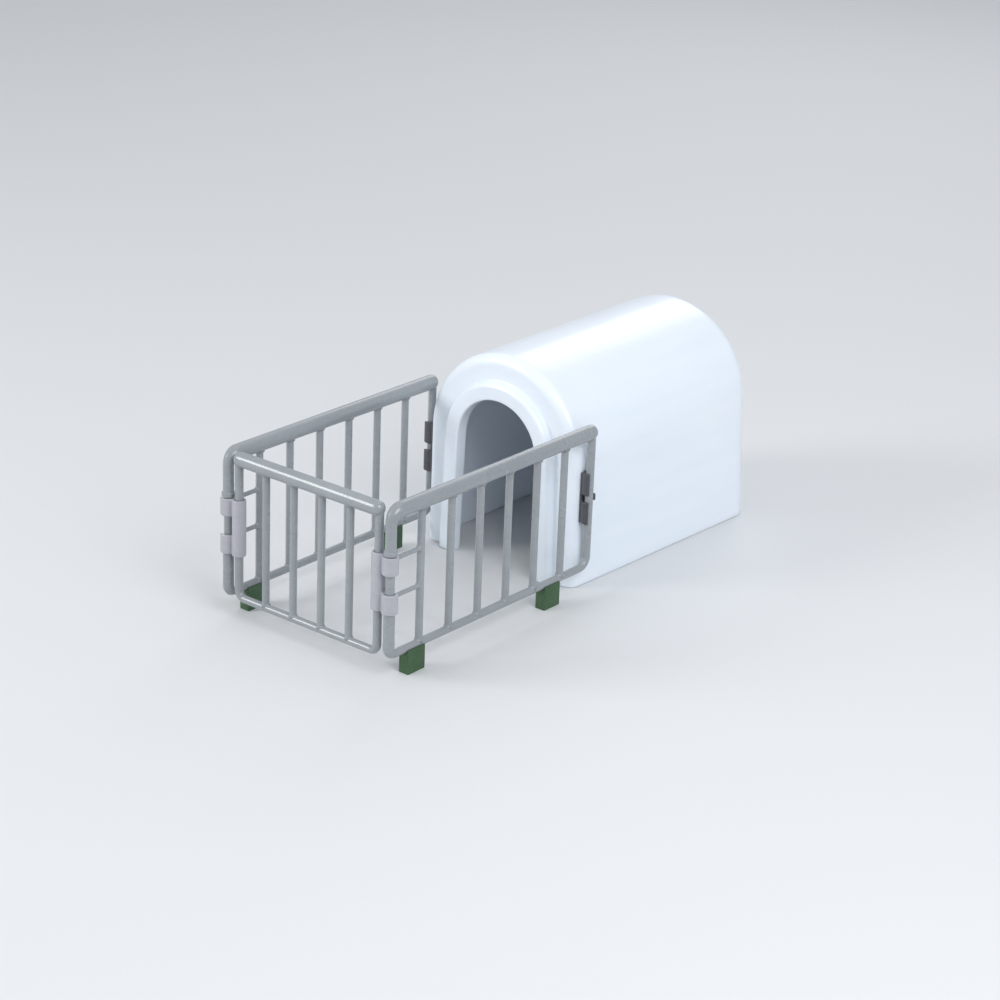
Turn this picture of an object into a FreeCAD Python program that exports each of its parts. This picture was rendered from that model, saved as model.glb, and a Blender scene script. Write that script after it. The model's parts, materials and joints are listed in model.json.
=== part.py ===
import FreeCAD, Part
import math
import os

from FreeCAD import Vector

# A 1:32 toy calf hutch: a moulded vault with a fenced pen in front of it.
# +Z is up, -Y is the gate's end, +X is the right side panel. The origin is on the
# ground, in the middle of the overall box. All sizes are in millimetres.

# Pen
PEN_WIDTH = 42.0              # between the axes of the two side panels
PANEL_LENGTH = 60.0           # front post axis to rear post axis
BOTTOM_RAIL_HEIGHT = 5.1      # ground to the rail's axis
TOP_RAIL_HEIGHT = 34.1        # ground to the rail's axis
TOP_RAIL_DIAMETER = 3.1
BOTTOM_RAIL_DIAMETER = 1.6
BAR_DIAMETER = 1.5
RAIL_END_OVERHANG = 0.1       # a top rail's round end past the post that stands under it
PANEL_BAYS = 7                # gaps between a side panel's posts and bars
GATE_BAYS = 5                 # gaps between the gate's posts and bars

# Side panel posts
FRONT_POST_DIAMETER = 2.2
NECK_DIAMETER = 1.8           # turned-down stretch that the corner clip grips
RING_DIAMETER = 2.7           # shoulder above the clip
RING_HEIGHT = 0.9
REAR_POST_DIAMETER = 1.7
TOP_BEND_RADIUS = 2.3         # centre line of the top rail's bend into the front post
FRONT_FOOT_BEND_RADIUS = 1.6  # centre line of the front post's bend into the bottom rail
REAR_FOOT_BEND_RADIUS = 2.2
RUNG_DIAMETER = 0.9
RUNG_DROP = 0.9               # lower collar's top down to the lower rung's axis

# Gate
GATE_POST_DIAMETER = 1.7
GATE_RAIL_DIAMETER = 3.0
GATE_POST_GAP = 0.95          # between the gate's post and the side panel's front post
GATE_BEND_RADIUS = 1.6

# Corner clips
CLIP_BOTTOM = 13.9            # ground to the barrel's lower end
CLIP_HEIGHT = 11.8
BARREL_DIAMETER = 2.8
COLLAR_DIAMETER = 3.2
UPPER_COLLAR_HEIGHT = 3.7
LOWER_COLLAR_HEIGHT = 4.0
COLLAR_TOP_DROP = 0.2         # the upper collar stops this far under the barrel's top
WEB_THICKNESS = 1.5
MOUTH_WIDTH = 1.3             # slot in the hinge collars that the rungs pass through

# Clips on the hutch wall that hold the rear posts
WALL_CLIP_BOTTOM = 14.5
WALL_CLIP_HEIGHT = 10.9
WALL_CLIP_DIAMETER = 3.1
WALL_CLIP_PAD_WIDTH = 2.6
REAR_FINGER_HEIGHT = 1.5
FRONT_FINGER_WRAP = 130.0     # degrees from the wall side round the post
REAR_FINGER_WRAP = 120.0
PEG_DIAMETER = 1.8

# Feet under the side panels
FOOT_LENGTH = 4.8
FOOT_THICKNESS = 2.4
FOOT_TOP_DROP = 0.1           # rail axis down to the foot's top
FOOT_EDGE_RADIUS = 0.3
FRONT_FOOT_SETBACK = 6.8      # front post axis to the foot's middle
REAR_FOOT_SETBACK = 12.1      # rear post axis to the foot's middle

# Hutch
HUTCH_LENGTH = 61.4           # front wall to rear wall
PANEL_OVERLAP = 2.6           # how far the side panels reach past the front wall
HUTCH_HEIGHT = 45.2
POST_TO_WALL_GAP = 0.55       # rear post to the hutch's side wall
REAR_BASE_SPREAD = 1.4        # how much wider each side is at the rear, at the ground
REAR_CROWN_TUCK = 0.3         # how much smaller the crown's radius is at the rear
FRONT_EDGE_RADIUS = 2.2
REAR_EDGE_RADIUS = 5.0
HUTCH_WALL = 1.2
DOOR_BASE_HALF = 11.0
DOOR_CROWN_RADIUS = 10.2
DOOR_HEIGHT = 36.1
DOOR_RIM_WIDTH = 3.5
DOOR_RIM_STEP = 2.0           # how far the rim stands proud of the front wall
DOOR_RIM_EDGE_RADIUS = 0.8
ROUNDING_STEPS = 6            # sections round each end edge
GROUND_TRIM = 1.0             # how far the arches reach under the ground before they are cut flat

# Fits
RUNNING_CLEARANCE = 0.05      # radial, where a post turns
SEAT_CLEARANCE = 0.02         # radial, where a clip or foot is pushed on and stays
SHOULDER_CLEARANCE = 0.1      # along a post
TOUCH = 0.01                  # two points nearer than this are on the same face

# Worked-out places
OVERALL_LENGTH = COLLAR_DIAMETER / 2 + PANEL_LENGTH - PANEL_OVERLAP + HUTCH_LENGTH
FRONT_Y = COLLAR_DIAMETER / 2 - OVERALL_LENGTH / 2
REAR_POST_Y = FRONT_Y + PANEL_LENGTH
HUTCH_FRONT_Y = REAR_POST_Y - PANEL_OVERLAP
HUTCH_REAR_Y = HUTCH_FRONT_Y + HUTCH_LENGTH
SIDE_X = PEN_WIDTH / 2
FRONT_HALF_WIDTH = SIDE_X - REAR_POST_DIAMETER / 2 - POST_TO_WALL_GAP
GATE_POST_X = SIDE_X - FRONT_POST_DIAMETER / 2 - GATE_POST_GAP - GATE_POST_DIAMETER / 2
CLIP_TOP = CLIP_BOTTOM + CLIP_HEIGHT
UPPER_COLLAR_TOP = CLIP_TOP - COLLAR_TOP_DROP
LOWER_COLLAR_TOP = CLIP_BOTTOM + LOWER_COLLAR_HEIGHT
NECK_BOTTOM = CLIP_BOTTOM - SHOULDER_CLEARANCE
NECK_TOP = UPPER_COLLAR_TOP + SHOULDER_CLEARANCE
RUNG_HEIGHTS = (LOWER_COLLAR_TOP - RUNG_DROP, UPPER_COLLAR_TOP - RUNG_DROP)

UP = Vector(0, 0, 1)
ALONG_X = Vector(1, 0, 0)
ALONG_Y = Vector(0, 1, 0)


def rod(start, end, diameter):
    """Round bar with flat ends between two points."""
    run = end - start
    return Part.makeCylinder(diameter / 2, run.Length, start, run)


def ball(centre, diameter):
    """Sphere that rounds the end of a rail."""
    return Part.makeSphere(diameter / 2, centre)


def post(x, y, bottom, top, diameter):
    """Upright round bar."""
    return rod(Vector(x, y, bottom), Vector(x, y, top), diameter)


def block(x_low, x_high, y_low, y_high, z_low, z_high):
    """Box between two corners."""
    size = (x_high - x_low, y_high - y_low, z_high - z_low)
    return Part.makeBox(*size, Vector(x_low, y_low, z_low))


def bend(centre, start_arm, end_arm, radius, start_diameter, end_diameter):
    """Quarter bend about a centre, whose section changes evenly from end to end."""
    steps = 6
    sections = []
    for step in range(steps + 1):
        share = step / steps
        angle = share * math.pi / 2
        arm = start_arm * math.cos(angle) + end_arm * math.sin(angle)
        heading = end_arm * math.cos(angle) - start_arm * math.sin(angle)
        size = start_diameter + share * (end_diameter - start_diameter)
        circle = Part.makeCircle(size / 2, centre + arm * radius, heading)
        sections.append(Part.Wire([circle]))
    return Part.makeLoft(sections, True, False)


def joined(pieces):
    """One solid from overlapping or touching pieces."""
    shape = pieces[0].multiFuse(pieces[1:])
    if len(shape.Solids) != 1:
        raise ValueError("the pieces do not join into one solid")
    return shape.Solids[0]


def side_panel(x):
    """Fence panel between the wall clip and the corner, its top rail bent into its front post."""
    front = FRONT_Y
    rear = REAR_POST_Y
    top = TOP_RAIL_HEIGHT
    bottom = BOTTOM_RAIL_HEIGHT
    down = Vector(0, 0, -1)
    forward = Vector(0, -1, 0)
    top_centre = Vector(x, front + TOP_BEND_RADIUS, top - TOP_BEND_RADIUS)
    front_centre = Vector(x, front + FRONT_FOOT_BEND_RADIUS, bottom + FRONT_FOOT_BEND_RADIUS)
    rear_centre = Vector(x, rear - REAR_FOOT_BEND_RADIUS, bottom + REAR_FOOT_BEND_RADIUS)
    rail_end = rear + (REAR_POST_DIAMETER - TOP_RAIL_DIAMETER) / 2 + RAIL_END_OVERHANG
    pieces = [
        rod(Vector(x, top_centre.y, top), Vector(x, rail_end, top), TOP_RAIL_DIAMETER),
        ball(Vector(x, rail_end, top), TOP_RAIL_DIAMETER),
        bend(top_centre, UP, forward, TOP_BEND_RADIUS, TOP_RAIL_DIAMETER, FRONT_POST_DIAMETER),
        post(x, front, NECK_TOP, top_centre.z, FRONT_POST_DIAMETER),
        post(x, front, NECK_TOP, NECK_TOP + RING_HEIGHT, RING_DIAMETER),
        post(x, front, NECK_BOTTOM, NECK_TOP, NECK_DIAMETER),
        post(x, front, front_centre.z, NECK_BOTTOM, FRONT_POST_DIAMETER),
        bend(front_centre, forward, down, FRONT_FOOT_BEND_RADIUS,
             FRONT_POST_DIAMETER, BOTTOM_RAIL_DIAMETER),
        rod(Vector(x, front_centre.y, bottom), Vector(x, rear_centre.y, bottom),
            BOTTOM_RAIL_DIAMETER),
        bend(rear_centre, down, ALONG_Y, REAR_FOOT_BEND_RADIUS,
             BOTTOM_RAIL_DIAMETER, REAR_POST_DIAMETER),
        post(x, rear, rear_centre.z, top, REAR_POST_DIAMETER),
    ]
    spacing = PANEL_LENGTH / PANEL_BAYS
    for bay in range(1, PANEL_BAYS):
        pieces.append(post(x, front + bay * spacing, bottom, top, BAR_DIAMETER))
    for height in RUNG_HEIGHTS:
        pieces.append(rod(Vector(x, front, height), Vector(x, front + spacing, height),
                          RUNG_DIAMETER))
    return joined(pieces)


def gate_panel():
    """Front panel: two posts, four bars, a thick top rail with round ends and a thin bottom rail."""
    top = TOP_RAIL_HEIGHT
    bottom = BOTTOM_RAIL_HEIGHT
    reach = GATE_POST_X
    rail_end = reach + (GATE_POST_DIAMETER - GATE_RAIL_DIAMETER) / 2 + RAIL_END_OVERHANG
    down = Vector(0, 0, -1)
    pieces = [
        rod(Vector(-rail_end, FRONT_Y, top), Vector(rail_end, FRONT_Y, top), GATE_RAIL_DIAMETER),
        rod(Vector(GATE_BEND_RADIUS - reach, FRONT_Y, bottom),
            Vector(reach - GATE_BEND_RADIUS, FRONT_Y, bottom), BOTTOM_RAIL_DIAMETER),
    ]
    for side in (-1, 1):
        bend_centre = Vector(side * (reach - GATE_BEND_RADIUS), FRONT_Y, bottom + GATE_BEND_RADIUS)
        pieces.append(ball(Vector(side * rail_end, FRONT_Y, top), GATE_RAIL_DIAMETER))
        pieces.append(post(side * reach, FRONT_Y, bend_centre.z, top, GATE_POST_DIAMETER))
        pieces.append(bend(bend_centre, down, ALONG_X * side, GATE_BEND_RADIUS,
                           BOTTOM_RAIL_DIAMETER, GATE_POST_DIAMETER))
    spacing = 2 * reach / GATE_BAYS
    for bay in range(1, GATE_BAYS):
        pieces.append(post(bay * spacing - reach, FRONT_Y, bottom, top, BAR_DIAMETER))
    return joined(pieces)


def clip_blank(side):
    """Corner clip before its bores: a barrel for the gate post, two collars and their webs."""
    barrel_x = side * GATE_POST_X
    collar_x = side * SIDE_X
    spans = (
        (CLIP_BOTTOM, LOWER_COLLAR_TOP),
        (UPPER_COLLAR_TOP - UPPER_COLLAR_HEIGHT, UPPER_COLLAR_TOP),
    )
    pieces = [post(barrel_x, FRONT_Y, CLIP_BOTTOM, CLIP_TOP, BARREL_DIAMETER)]
    for low, high in spans:
        pieces.append(post(collar_x, FRONT_Y, low, high, COLLAR_DIAMETER))
        pieces.append(block(min(barrel_x, collar_x), max(barrel_x, collar_x),
                            FRONT_Y - WEB_THICKNESS / 2, FRONT_Y + WEB_THICKNESS / 2, low, high))
    return joined(pieces)


def hinge_clip():
    """Right clip: the gate post turns in its barrel, and its collars are snapped on the neck."""
    gate_bore = GATE_POST_DIAMETER + 2 * RUNNING_CLEARANCE
    neck_bore = NECK_DIAMETER + 2 * SEAT_CLEARANCE
    mouth = block(SIDE_X - MOUTH_WIDTH / 2, SIDE_X + MOUTH_WIDTH / 2,
                  FRONT_Y, FRONT_Y + COLLAR_DIAMETER, 0, CLIP_TOP)
    tools = [
        post(GATE_POST_X, FRONT_Y, 0, CLIP_TOP, gate_bore),
        post(SIDE_X, FRONT_Y, 0, CLIP_TOP, neck_bore),
        mouth,
    ]
    return clip_blank(1).cut(tools).Solids[0]


def latch_clip():
    """Left clip: fixed on the gate post, with hooks that bear on the front and inner side of the neck."""
    gate_bore = GATE_POST_DIAMETER + 2 * SEAT_CLEARANCE
    throat = NECK_DIAMETER / 2 + RUNNING_CLEARANCE
    axis = -SIDE_X
    outside = axis - COLLAR_DIAMETER
    behind = FRONT_Y + COLLAR_DIAMETER
    tools = [
        post(-GATE_POST_X, FRONT_Y, 0, CLIP_TOP, gate_bore),
        post(axis, FRONT_Y, 0, CLIP_TOP, 2 * throat),
        block(outside, axis, FRONT_Y - throat, behind, 0, CLIP_TOP),
        block(outside, axis + throat, FRONT_Y, behind, 0, CLIP_TOP),
    ]
    return clip_blank(-1).cut(tools).Solids[0]


def ring_sector(low, height, start, sweep):
    """Part of the wall clip's round body about the right rear post, as a wedge of a disc."""
    centre = Vector(SIDE_X, REAR_POST_Y, low)
    wedge = Part.makeCylinder(WALL_CLIP_DIAMETER / 2, height, centre, UP, sweep)
    wedge.rotate(centre, UP, start)
    return wedge


def wall_peg(side):
    """Round peg that holds a wall clip in the hutch's side wall."""
    height = WALL_CLIP_BOTTOM + WALL_CLIP_HEIGHT / 2
    inner = Vector(side * (FRONT_HALF_WIDTH - HUTCH_WALL), REAR_POST_Y, height)
    beside_post = SIDE_X - REAR_POST_DIAMETER / 2 - 3 * RUNNING_CLEARANCE
    outer = Vector(side * beside_post, REAR_POST_Y, height)
    return inner, outer


def wall_clip(hutch_body):
    """Right wall clip: two fingers in front of the rear post, one behind it, a pad and a peg."""
    towards_wall = 180.0
    middle = WALL_CLIP_BOTTOM + WALL_CLIP_HEIGHT / 2
    finger_low = middle - REAR_FINGER_HEIGHT / 2
    finger_high = middle + REAR_FINGER_HEIGHT / 2
    bore = REAR_POST_DIAMETER + 2 * RUNNING_CLEARANCE
    front_height = finger_low - WALL_CLIP_BOTTOM
    pad = block(FRONT_HALF_WIDTH - HUTCH_WALL, SIDE_X - bore / 4,
                REAR_POST_Y - WALL_CLIP_PAD_WIDTH / 2, REAR_POST_Y + WALL_CLIP_PAD_WIDTH / 2,
                WALL_CLIP_BOTTOM, WALL_CLIP_BOTTOM + WALL_CLIP_HEIGHT)
    body = joined([
        pad,
        ring_sector(WALL_CLIP_BOTTOM, front_height, towards_wall, FRONT_FINGER_WRAP),
        ring_sector(finger_high, front_height, towards_wall, FRONT_FINGER_WRAP),
        ring_sector(finger_low, REAR_FINGER_HEIGHT, towards_wall - REAR_FINGER_WRAP,
                    REAR_FINGER_WRAP),
    ])
    body = body.cut(hutch_body).cut(post(SIDE_X, REAR_POST_Y, 0, TOP_RAIL_HEIGHT, bore))
    inner, outer = wall_peg(1)
    return joined([body.Solids[0], rod(inner, outer, PEG_DIAMETER)])


def arch(base_half, radius, crown, y, inset=0.0):
    """Closed arch outline across the Y axis: straight legs that touch a round crown.

    The half width is measured at the ground, and the legs go on to the trim line under it. The
    inset moves the whole line inwards.
    """
    centre_z = crown - radius
    span = math.hypot(base_half, centre_z)
    flare = math.acos(radius / span) - math.atan2(centre_z, base_half)
    small = radius - inset
    foot_half = base_half - inset / math.cos(flare) + GROUND_TRIM * math.tan(flare)
    tangent_x = small * math.cos(flare)
    tangent_z = centre_z + small * math.sin(flare)
    top = Vector(0, y, centre_z + small)
    right_foot = Vector(foot_half, y, -GROUND_TRIM)
    left_foot = Vector(-foot_half, y, -GROUND_TRIM)
    right = Vector(tangent_x, y, tangent_z)
    left = Vector(-tangent_x, y, tangent_z)
    edges = [
        Part.makeLine(left_foot, right_foot),
        Part.makeLine(right_foot, right),
        Part.Arc(right, top, left).toShape(),
        Part.makeLine(left, left_foot),
    ]
    return Part.Wire(edges)


def vault(inset):
    """Tapered vault with rounded end edges, moved in from the hutch's outer faces by the inset.

    It reaches below the ground, where the shell is cut off flat.
    """
    sections = []

    def add_section(y, depth):
        share = (y - HUTCH_FRONT_Y) / HUTCH_LENGTH
        half = FRONT_HALF_WIDTH + share * REAR_BASE_SPREAD
        radius = FRONT_HALF_WIDTH - share * REAR_CROWN_TUCK
        sections.append(arch(half, radius, HUTCH_HEIGHT, y, depth))

    angles = [step / ROUNDING_STEPS * math.pi / 2 for step in range(ROUNDING_STEPS + 1)]
    front_edge = FRONT_EDGE_RADIUS - inset
    for angle in angles:
        add_section(HUTCH_FRONT_Y + inset + front_edge * (1 - math.cos(angle)),
                    inset + front_edge * (1 - math.sin(angle)))
    rear_edge = REAR_EDGE_RADIUS - inset
    for angle in reversed(angles):
        add_section(HUTCH_REAR_Y - inset - rear_edge * (1 - math.cos(angle)),
                    inset + rear_edge * (1 - math.sin(angle)))
    return Part.makeLoft(sections, True, True)


def front_edges(shape, y):
    """Edges of an extruded arch's front face, without the line that joins its feet."""
    found = []
    for edge in shape.Edges:
        spots = [vertex.Point for vertex in edge.Vertexes]
        on_face = all(abs(spot.y - y) < TOUCH for spot in spots)
        joins_feet = all(spot.z < TOUCH for spot in spots)
        if on_face and not joins_feet:
            found.append(edge)
    return found


def hutch_shell(outer):
    """Hollow vault with a raised rim round an arched doorway and holes for the wall clips' pegs."""
    rim_front = HUTCH_FRONT_Y - DOOR_RIM_STEP
    rim_line = arch(DOOR_BASE_HALF + DOOR_RIM_WIDTH, DOOR_CROWN_RADIUS + DOOR_RIM_WIDTH,
                    DOOR_HEIGHT + DOOR_RIM_WIDTH, rim_front)
    rim = Part.Face(rim_line).extrude(Vector(0, DOOR_RIM_STEP + HUTCH_WALL, 0))
    rim = rim.makeFillet(DOOR_RIM_EDGE_RADIUS, front_edges(rim, rim_front))
    shell = joined([outer, rim]).cut(vault(HUTCH_WALL))
    door_line = arch(DOOR_BASE_HALF, DOOR_CROWN_RADIUS, DOOR_HEIGHT, rim_front - HUTCH_WALL)
    door = Part.Face(door_line).extrude(Vector(0, DOOR_RIM_STEP + 3 * HUTCH_WALL, 0))
    ground = block(-PEN_WIDTH, PEN_WIDTH, rim_front - HUTCH_WALL, HUTCH_REAR_Y + HUTCH_WALL,
                   -2 * GROUND_TRIM, 0)
    shell = shell.cut([door, ground])
    for side in (-1, 1):
        inner, outer_end = wall_peg(side)
        shell = shell.cut(rod(inner, outer_end, PEG_DIAMETER + 2 * SEAT_CLEARANCE))
    return shell.Solids[0]


def foot(x, y):
    """Block under a side panel, with a channel in its top that the bottom rail lies in."""
    top = BOTTOM_RAIL_HEIGHT - FOOT_TOP_DROP
    body = block(x - FOOT_THICKNESS / 2, x + FOOT_THICKNESS / 2,
                 y - FOOT_LENGTH / 2, y + FOOT_LENGTH / 2, 0, top)
    uprights = [edge for edge in body.Edges if abs(edge.tangentAt(edge.FirstParameter).z) > 0.9]
    body = body.makeFillet(FOOT_EDGE_RADIUS, uprights)
    channel = rod(Vector(x, y - FOOT_LENGTH, BOTTOM_RAIL_HEIGHT),
                  Vector(x, y + FOOT_LENGTH, BOTTOM_RAIL_HEIGHT),
                  BOTTOM_RAIL_DIAMETER + 2 * SEAT_CLEARANCE)
    return body.cut(channel).Solids[0]


def main():
    """Build every piece and write one STEP file for each."""
    outer = vault(0.0)
    right_wall_clip = wall_clip(outer)
    pieces = {
        "hutch_shell": hutch_shell(outer),
        "right_wall_clip": right_wall_clip,
        "left_wall_clip": right_wall_clip.mirror(Vector(0, 0, 0), ALONG_X),
        "right_side_panel": side_panel(SIDE_X),
        "left_side_panel": side_panel(-SIDE_X),
        "gate_panel": gate_panel(),
        "right_hinge_clip": hinge_clip(),
        "left_latch_clip": latch_clip(),
    }
    for side_name, side in (("right", 1), ("left", -1)):
        front_y = FRONT_Y + FRONT_FOOT_SETBACK
        rear_y = REAR_POST_Y - REAR_FOOT_SETBACK
        pieces[side_name + "_front_foot"] = foot(side * SIDE_X, front_y)
        pieces[side_name + "_rear_foot"] = foot(side * SIDE_X, rear_y)
    os.makedirs("parts", exist_ok=True)
    for name, shape in pieces.items():
        if not shape.isValid():
            raise ValueError(name + " is not a valid solid")
        shape.exportStep("parts/" + name + ".step")
        box = shape.BoundBox
        print(name, "volume %.1f" % shape.Volume, "x %.2f..%.2f" % (box.XMin, box.XMax),
              "y %.2f..%.2f" % (box.YMin, box.YMax), "z %.2f..%.2f" % (box.ZMin, box.ZMax))


main()
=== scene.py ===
import json
import logging
import math
from collections.abc import Callable, Iterable, Sequence
from dataclasses import dataclass
from enum import Enum

import bmesh
import bpy
import numpy as np
from mathutils import Matrix, Vector


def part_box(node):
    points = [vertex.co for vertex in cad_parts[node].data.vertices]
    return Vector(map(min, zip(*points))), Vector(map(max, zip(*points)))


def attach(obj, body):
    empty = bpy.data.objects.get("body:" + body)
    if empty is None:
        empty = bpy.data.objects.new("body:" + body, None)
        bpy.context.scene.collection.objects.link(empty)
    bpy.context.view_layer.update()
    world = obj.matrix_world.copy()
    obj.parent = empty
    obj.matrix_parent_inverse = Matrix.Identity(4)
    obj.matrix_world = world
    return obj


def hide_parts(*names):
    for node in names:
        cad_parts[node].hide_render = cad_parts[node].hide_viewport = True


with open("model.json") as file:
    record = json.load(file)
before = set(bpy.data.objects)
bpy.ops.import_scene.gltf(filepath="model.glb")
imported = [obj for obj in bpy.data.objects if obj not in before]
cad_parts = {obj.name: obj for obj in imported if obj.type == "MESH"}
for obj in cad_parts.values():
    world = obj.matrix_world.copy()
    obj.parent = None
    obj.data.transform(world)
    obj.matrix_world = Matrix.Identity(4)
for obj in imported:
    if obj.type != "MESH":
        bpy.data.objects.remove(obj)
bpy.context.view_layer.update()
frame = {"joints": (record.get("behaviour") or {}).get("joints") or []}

MM = 0.001                 # metres in a millimetre: every size below is in millimetres
HALF_TURN = math.pi
QUARTER_TURN = math.pi / 2
FULL_TURN = 2 * math.pi
WELD_GAP = 1e-6            # metres: points nearer than this are one point
LEAST_WIDTH = 1e-4         # narrowest section that a corner's radius is worked out from
LEAST_RADIUS = 1e-3        # nearest to the vault's middle line that a point is moved from
CORNER_LIMIT = 2.2         # a corner's radius is at most the width divided by this

X_AXIS = np.array([1.0, 0.0, 0.0])
Y_AXIS = np.array([0.0, 1.0, 0.0])
Z_AXIS = np.array([0.0, 0.0, 1.0])

log = logging.getLogger("calf_hutch")


# ---------------------------------------------------------------- where the frame puts things


def spot(x: float, y: float, z: float) -> np.ndarray:
    """A place as an array of three numbers."""
    return np.array([x, y, z])


def corners(node: str) -> tuple[np.ndarray, np.ndarray]:
    """Lowest and highest corner of a CAD node, in millimetres.

    Args:
        node: the CAD node's name.

    Returns:
        The two corners as arrays of three numbers.
    """
    low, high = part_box(node)
    return np.array(low) / MM, np.array(high) / MM


def joint_place(name: str) -> np.ndarray:
    """A point on a joint's axis, in millimetres.

    Args:
        name: the joint's name in the record.

    Returns:
        The point as an array of three numbers.
    """
    for joint in frame["joints"]:
        if joint["name"] == name:
            return np.array(joint["pos_m"]) / MM
    raise KeyError(name)


@dataclass(frozen=True)
class Layout:
    """The places that every piece is set out from, all read from the frame."""

    side_x: float
    gate_post_x: float
    front_y: float
    rear_post_y: float
    clip_low: float
    clip_high: float

    @classmethod
    def from_frame(cls) -> "Layout":
        """Read the joints' axes and the clip's height.

        Returns:
            The layout.
        """
        rear_post = joint_place("right_panel_swing")
        gate_post = joint_place("gate_swing")
        clip_low, clip_high = corners("right_hinge_clip")
        return cls(
            side_x=float(rear_post[0]),
            gate_post_x=float(gate_post[0]),
            front_y=float(gate_post[1]),
            rear_post_y=float(rear_post[1]),
            clip_low=float(clip_low[2]),
            clip_high=float(clip_high[2]),
        )


# ---------------------------------------------------------------- surfaces from numpy grids


class Skin:
    """Points and four-sided faces of one piece, gathered from grids, in millimetres."""

    def __init__(self) -> None:
        """Start with no surface."""
        self.points: list[np.ndarray] = []
        self.faces: list[np.ndarray] = []
        self.total = 0

    def add_tube(self, rings: np.ndarray, closed: bool = False) -> None:
        """Add a tube: each point is joined to the next one round its ring and to the next ring.

        Args:
            rings: points as (rings, points, 3).
            closed: join the last ring to the first.
        """
        count, around = rings.shape[:2]
        index = np.arange(count * around).reshape(count, around)
        if closed:
            index = np.vstack([index, index[:1]])
        index = np.hstack([index, index[:, :1]])
        faces = np.stack([index[:-1, :-1], index[:-1, 1:], index[1:, 1:], index[1:, :-1]], axis=-1)
        self.points.append(rings.reshape(-1, 3))
        self.faces.append(faces.reshape(-1, 4) + self.total)
        self.total += count * around

    def to_object(self, name: str) -> bpy.types.Object:
        """Put the surface into a new object at the origin, weld its seams and face it outwards.

        Args:
            name: the piece's name.

        Returns:
            The new object, smooth shaded.
        """
        points = np.concatenate(self.points) * MM
        faces = np.concatenate(self.faces)
        mesh = bpy.data.meshes.new(name)
        mesh.vertices.add(len(points))
        mesh.vertices.foreach_set("co", points.astype(np.float32).ravel())
        mesh.loops.add(faces.size)
        mesh.loops.foreach_set("vertex_index", faces.astype(np.int32).ravel())
        mesh.polygons.add(len(faces))
        mesh.polygons.foreach_set("loop_start", np.arange(0, faces.size, 4, dtype=np.int32))
        mesh.update(calc_edges=True)
        weld(mesh)
        return link_object(name, mesh)


def link_object(name: str, data: bpy.types.ID) -> bpy.types.Object:
    """Put a mesh, a light or a camera into the scene, at the origin.

    Args:
        name: the object's name.
        data: what it shows.

    Returns:
        The new object.
    """
    thing = bpy.data.objects.new(name, data)
    bpy.context.scene.collection.objects.link(thing)
    return thing


def weld(mesh: bpy.types.Mesh) -> None:
    """Merge the points that lie on each other, drop empty faces and turn every face outwards.

    Args:
        mesh: the mesh to change.
    """
    work = bmesh.new()
    work.from_mesh(mesh)
    bmesh.ops.remove_doubles(work, verts=work.verts, dist=WELD_GAP)
    bmesh.ops.dissolve_degenerate(work, edges=work.edges, dist=WELD_GAP)
    bmesh.ops.recalc_face_normals(work, faces=work.faces)
    work.to_mesh(mesh)
    work.free()
    mesh.polygons.foreach_set("use_smooth", np.ones(len(mesh.polygons), dtype=bool))
    mesh.update()


def apply_modifiers(piece: bpy.types.Object) -> None:
    """Bake a piece's modifiers into its mesh.

    Args:
        piece: the object to finish.
    """
    graph = bpy.context.evaluated_depsgraph_get()
    finished = bpy.data.meshes.new_from_object(piece.evaluated_get(graph))
    piece.modifiers.clear()
    piece.data = finished
    finished.polygons.foreach_set("use_smooth", np.ones(len(finished.polygons), dtype=bool))
    finished.update()


def fuse(piece: bpy.types.Object, grain: float, rounds: int) -> None:
    """Turn overlapping closed shells into one moulded skin with softened inside corners.

    A voxel remesh takes the outside of all the shells together, and a smoothing pass rounds
    what is sharper than the grain.

    Args:
        piece: the object to fuse.
        grain: size of a voxel.
        rounds: how many times the skin is smoothed.
    """
    remesh = piece.modifiers.new("one_moulding", "REMESH")
    remesh.mode = "VOXEL"
    remesh.voxel_size = grain * MM
    remesh.use_smooth_shade = True
    smooth = piece.modifiers.new("soft_corners", "CORRECTIVE_SMOOTH")
    smooth.factor = 0.5
    smooth.iterations = rounds
    smooth.use_only_smooth = True
    apply_modifiers(piece)


def ease(share: np.ndarray) -> np.ndarray:
    """Smooth step from 0 to 1: three squares less two cubes of the share, held at its ends."""
    held = np.clip(share, 0.0, 1.0)
    return held * held * (3.0 - 2.0 * held)


def plateau(value: np.ndarray, low: float, high: float, soft: float) -> np.ndarray:
    """1 between low and high and 0 outside, with a smooth step of the soft width at each end."""
    return ease((value - low) / soft + 0.5) * ease((high - value) / soft + 0.5)


def spread(low: float, high: float, count: int, close_spots: Sequence[float] = (),
           reach: float = 0.3, close_count: int = 9) -> np.ndarray:
    """Even stations between two values, with more of them about chosen spots.

    Args:
        low: first station.
        high: last station.
        count: how many even stations.
        close_spots: values that get more stations about them.
        reach: how far those reach to each side.
        close_count: how many there are about each spot.

    Returns:
        The stations in rising order.
    """
    parts = [np.linspace(low, high, count)]
    parts += [np.linspace(spot - reach, spot + reach, close_count) for spot in close_spots]
    stations = np.unique(np.round(np.concatenate(parts), 4))
    return stations[(stations >= low) & (stations <= high)]


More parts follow.
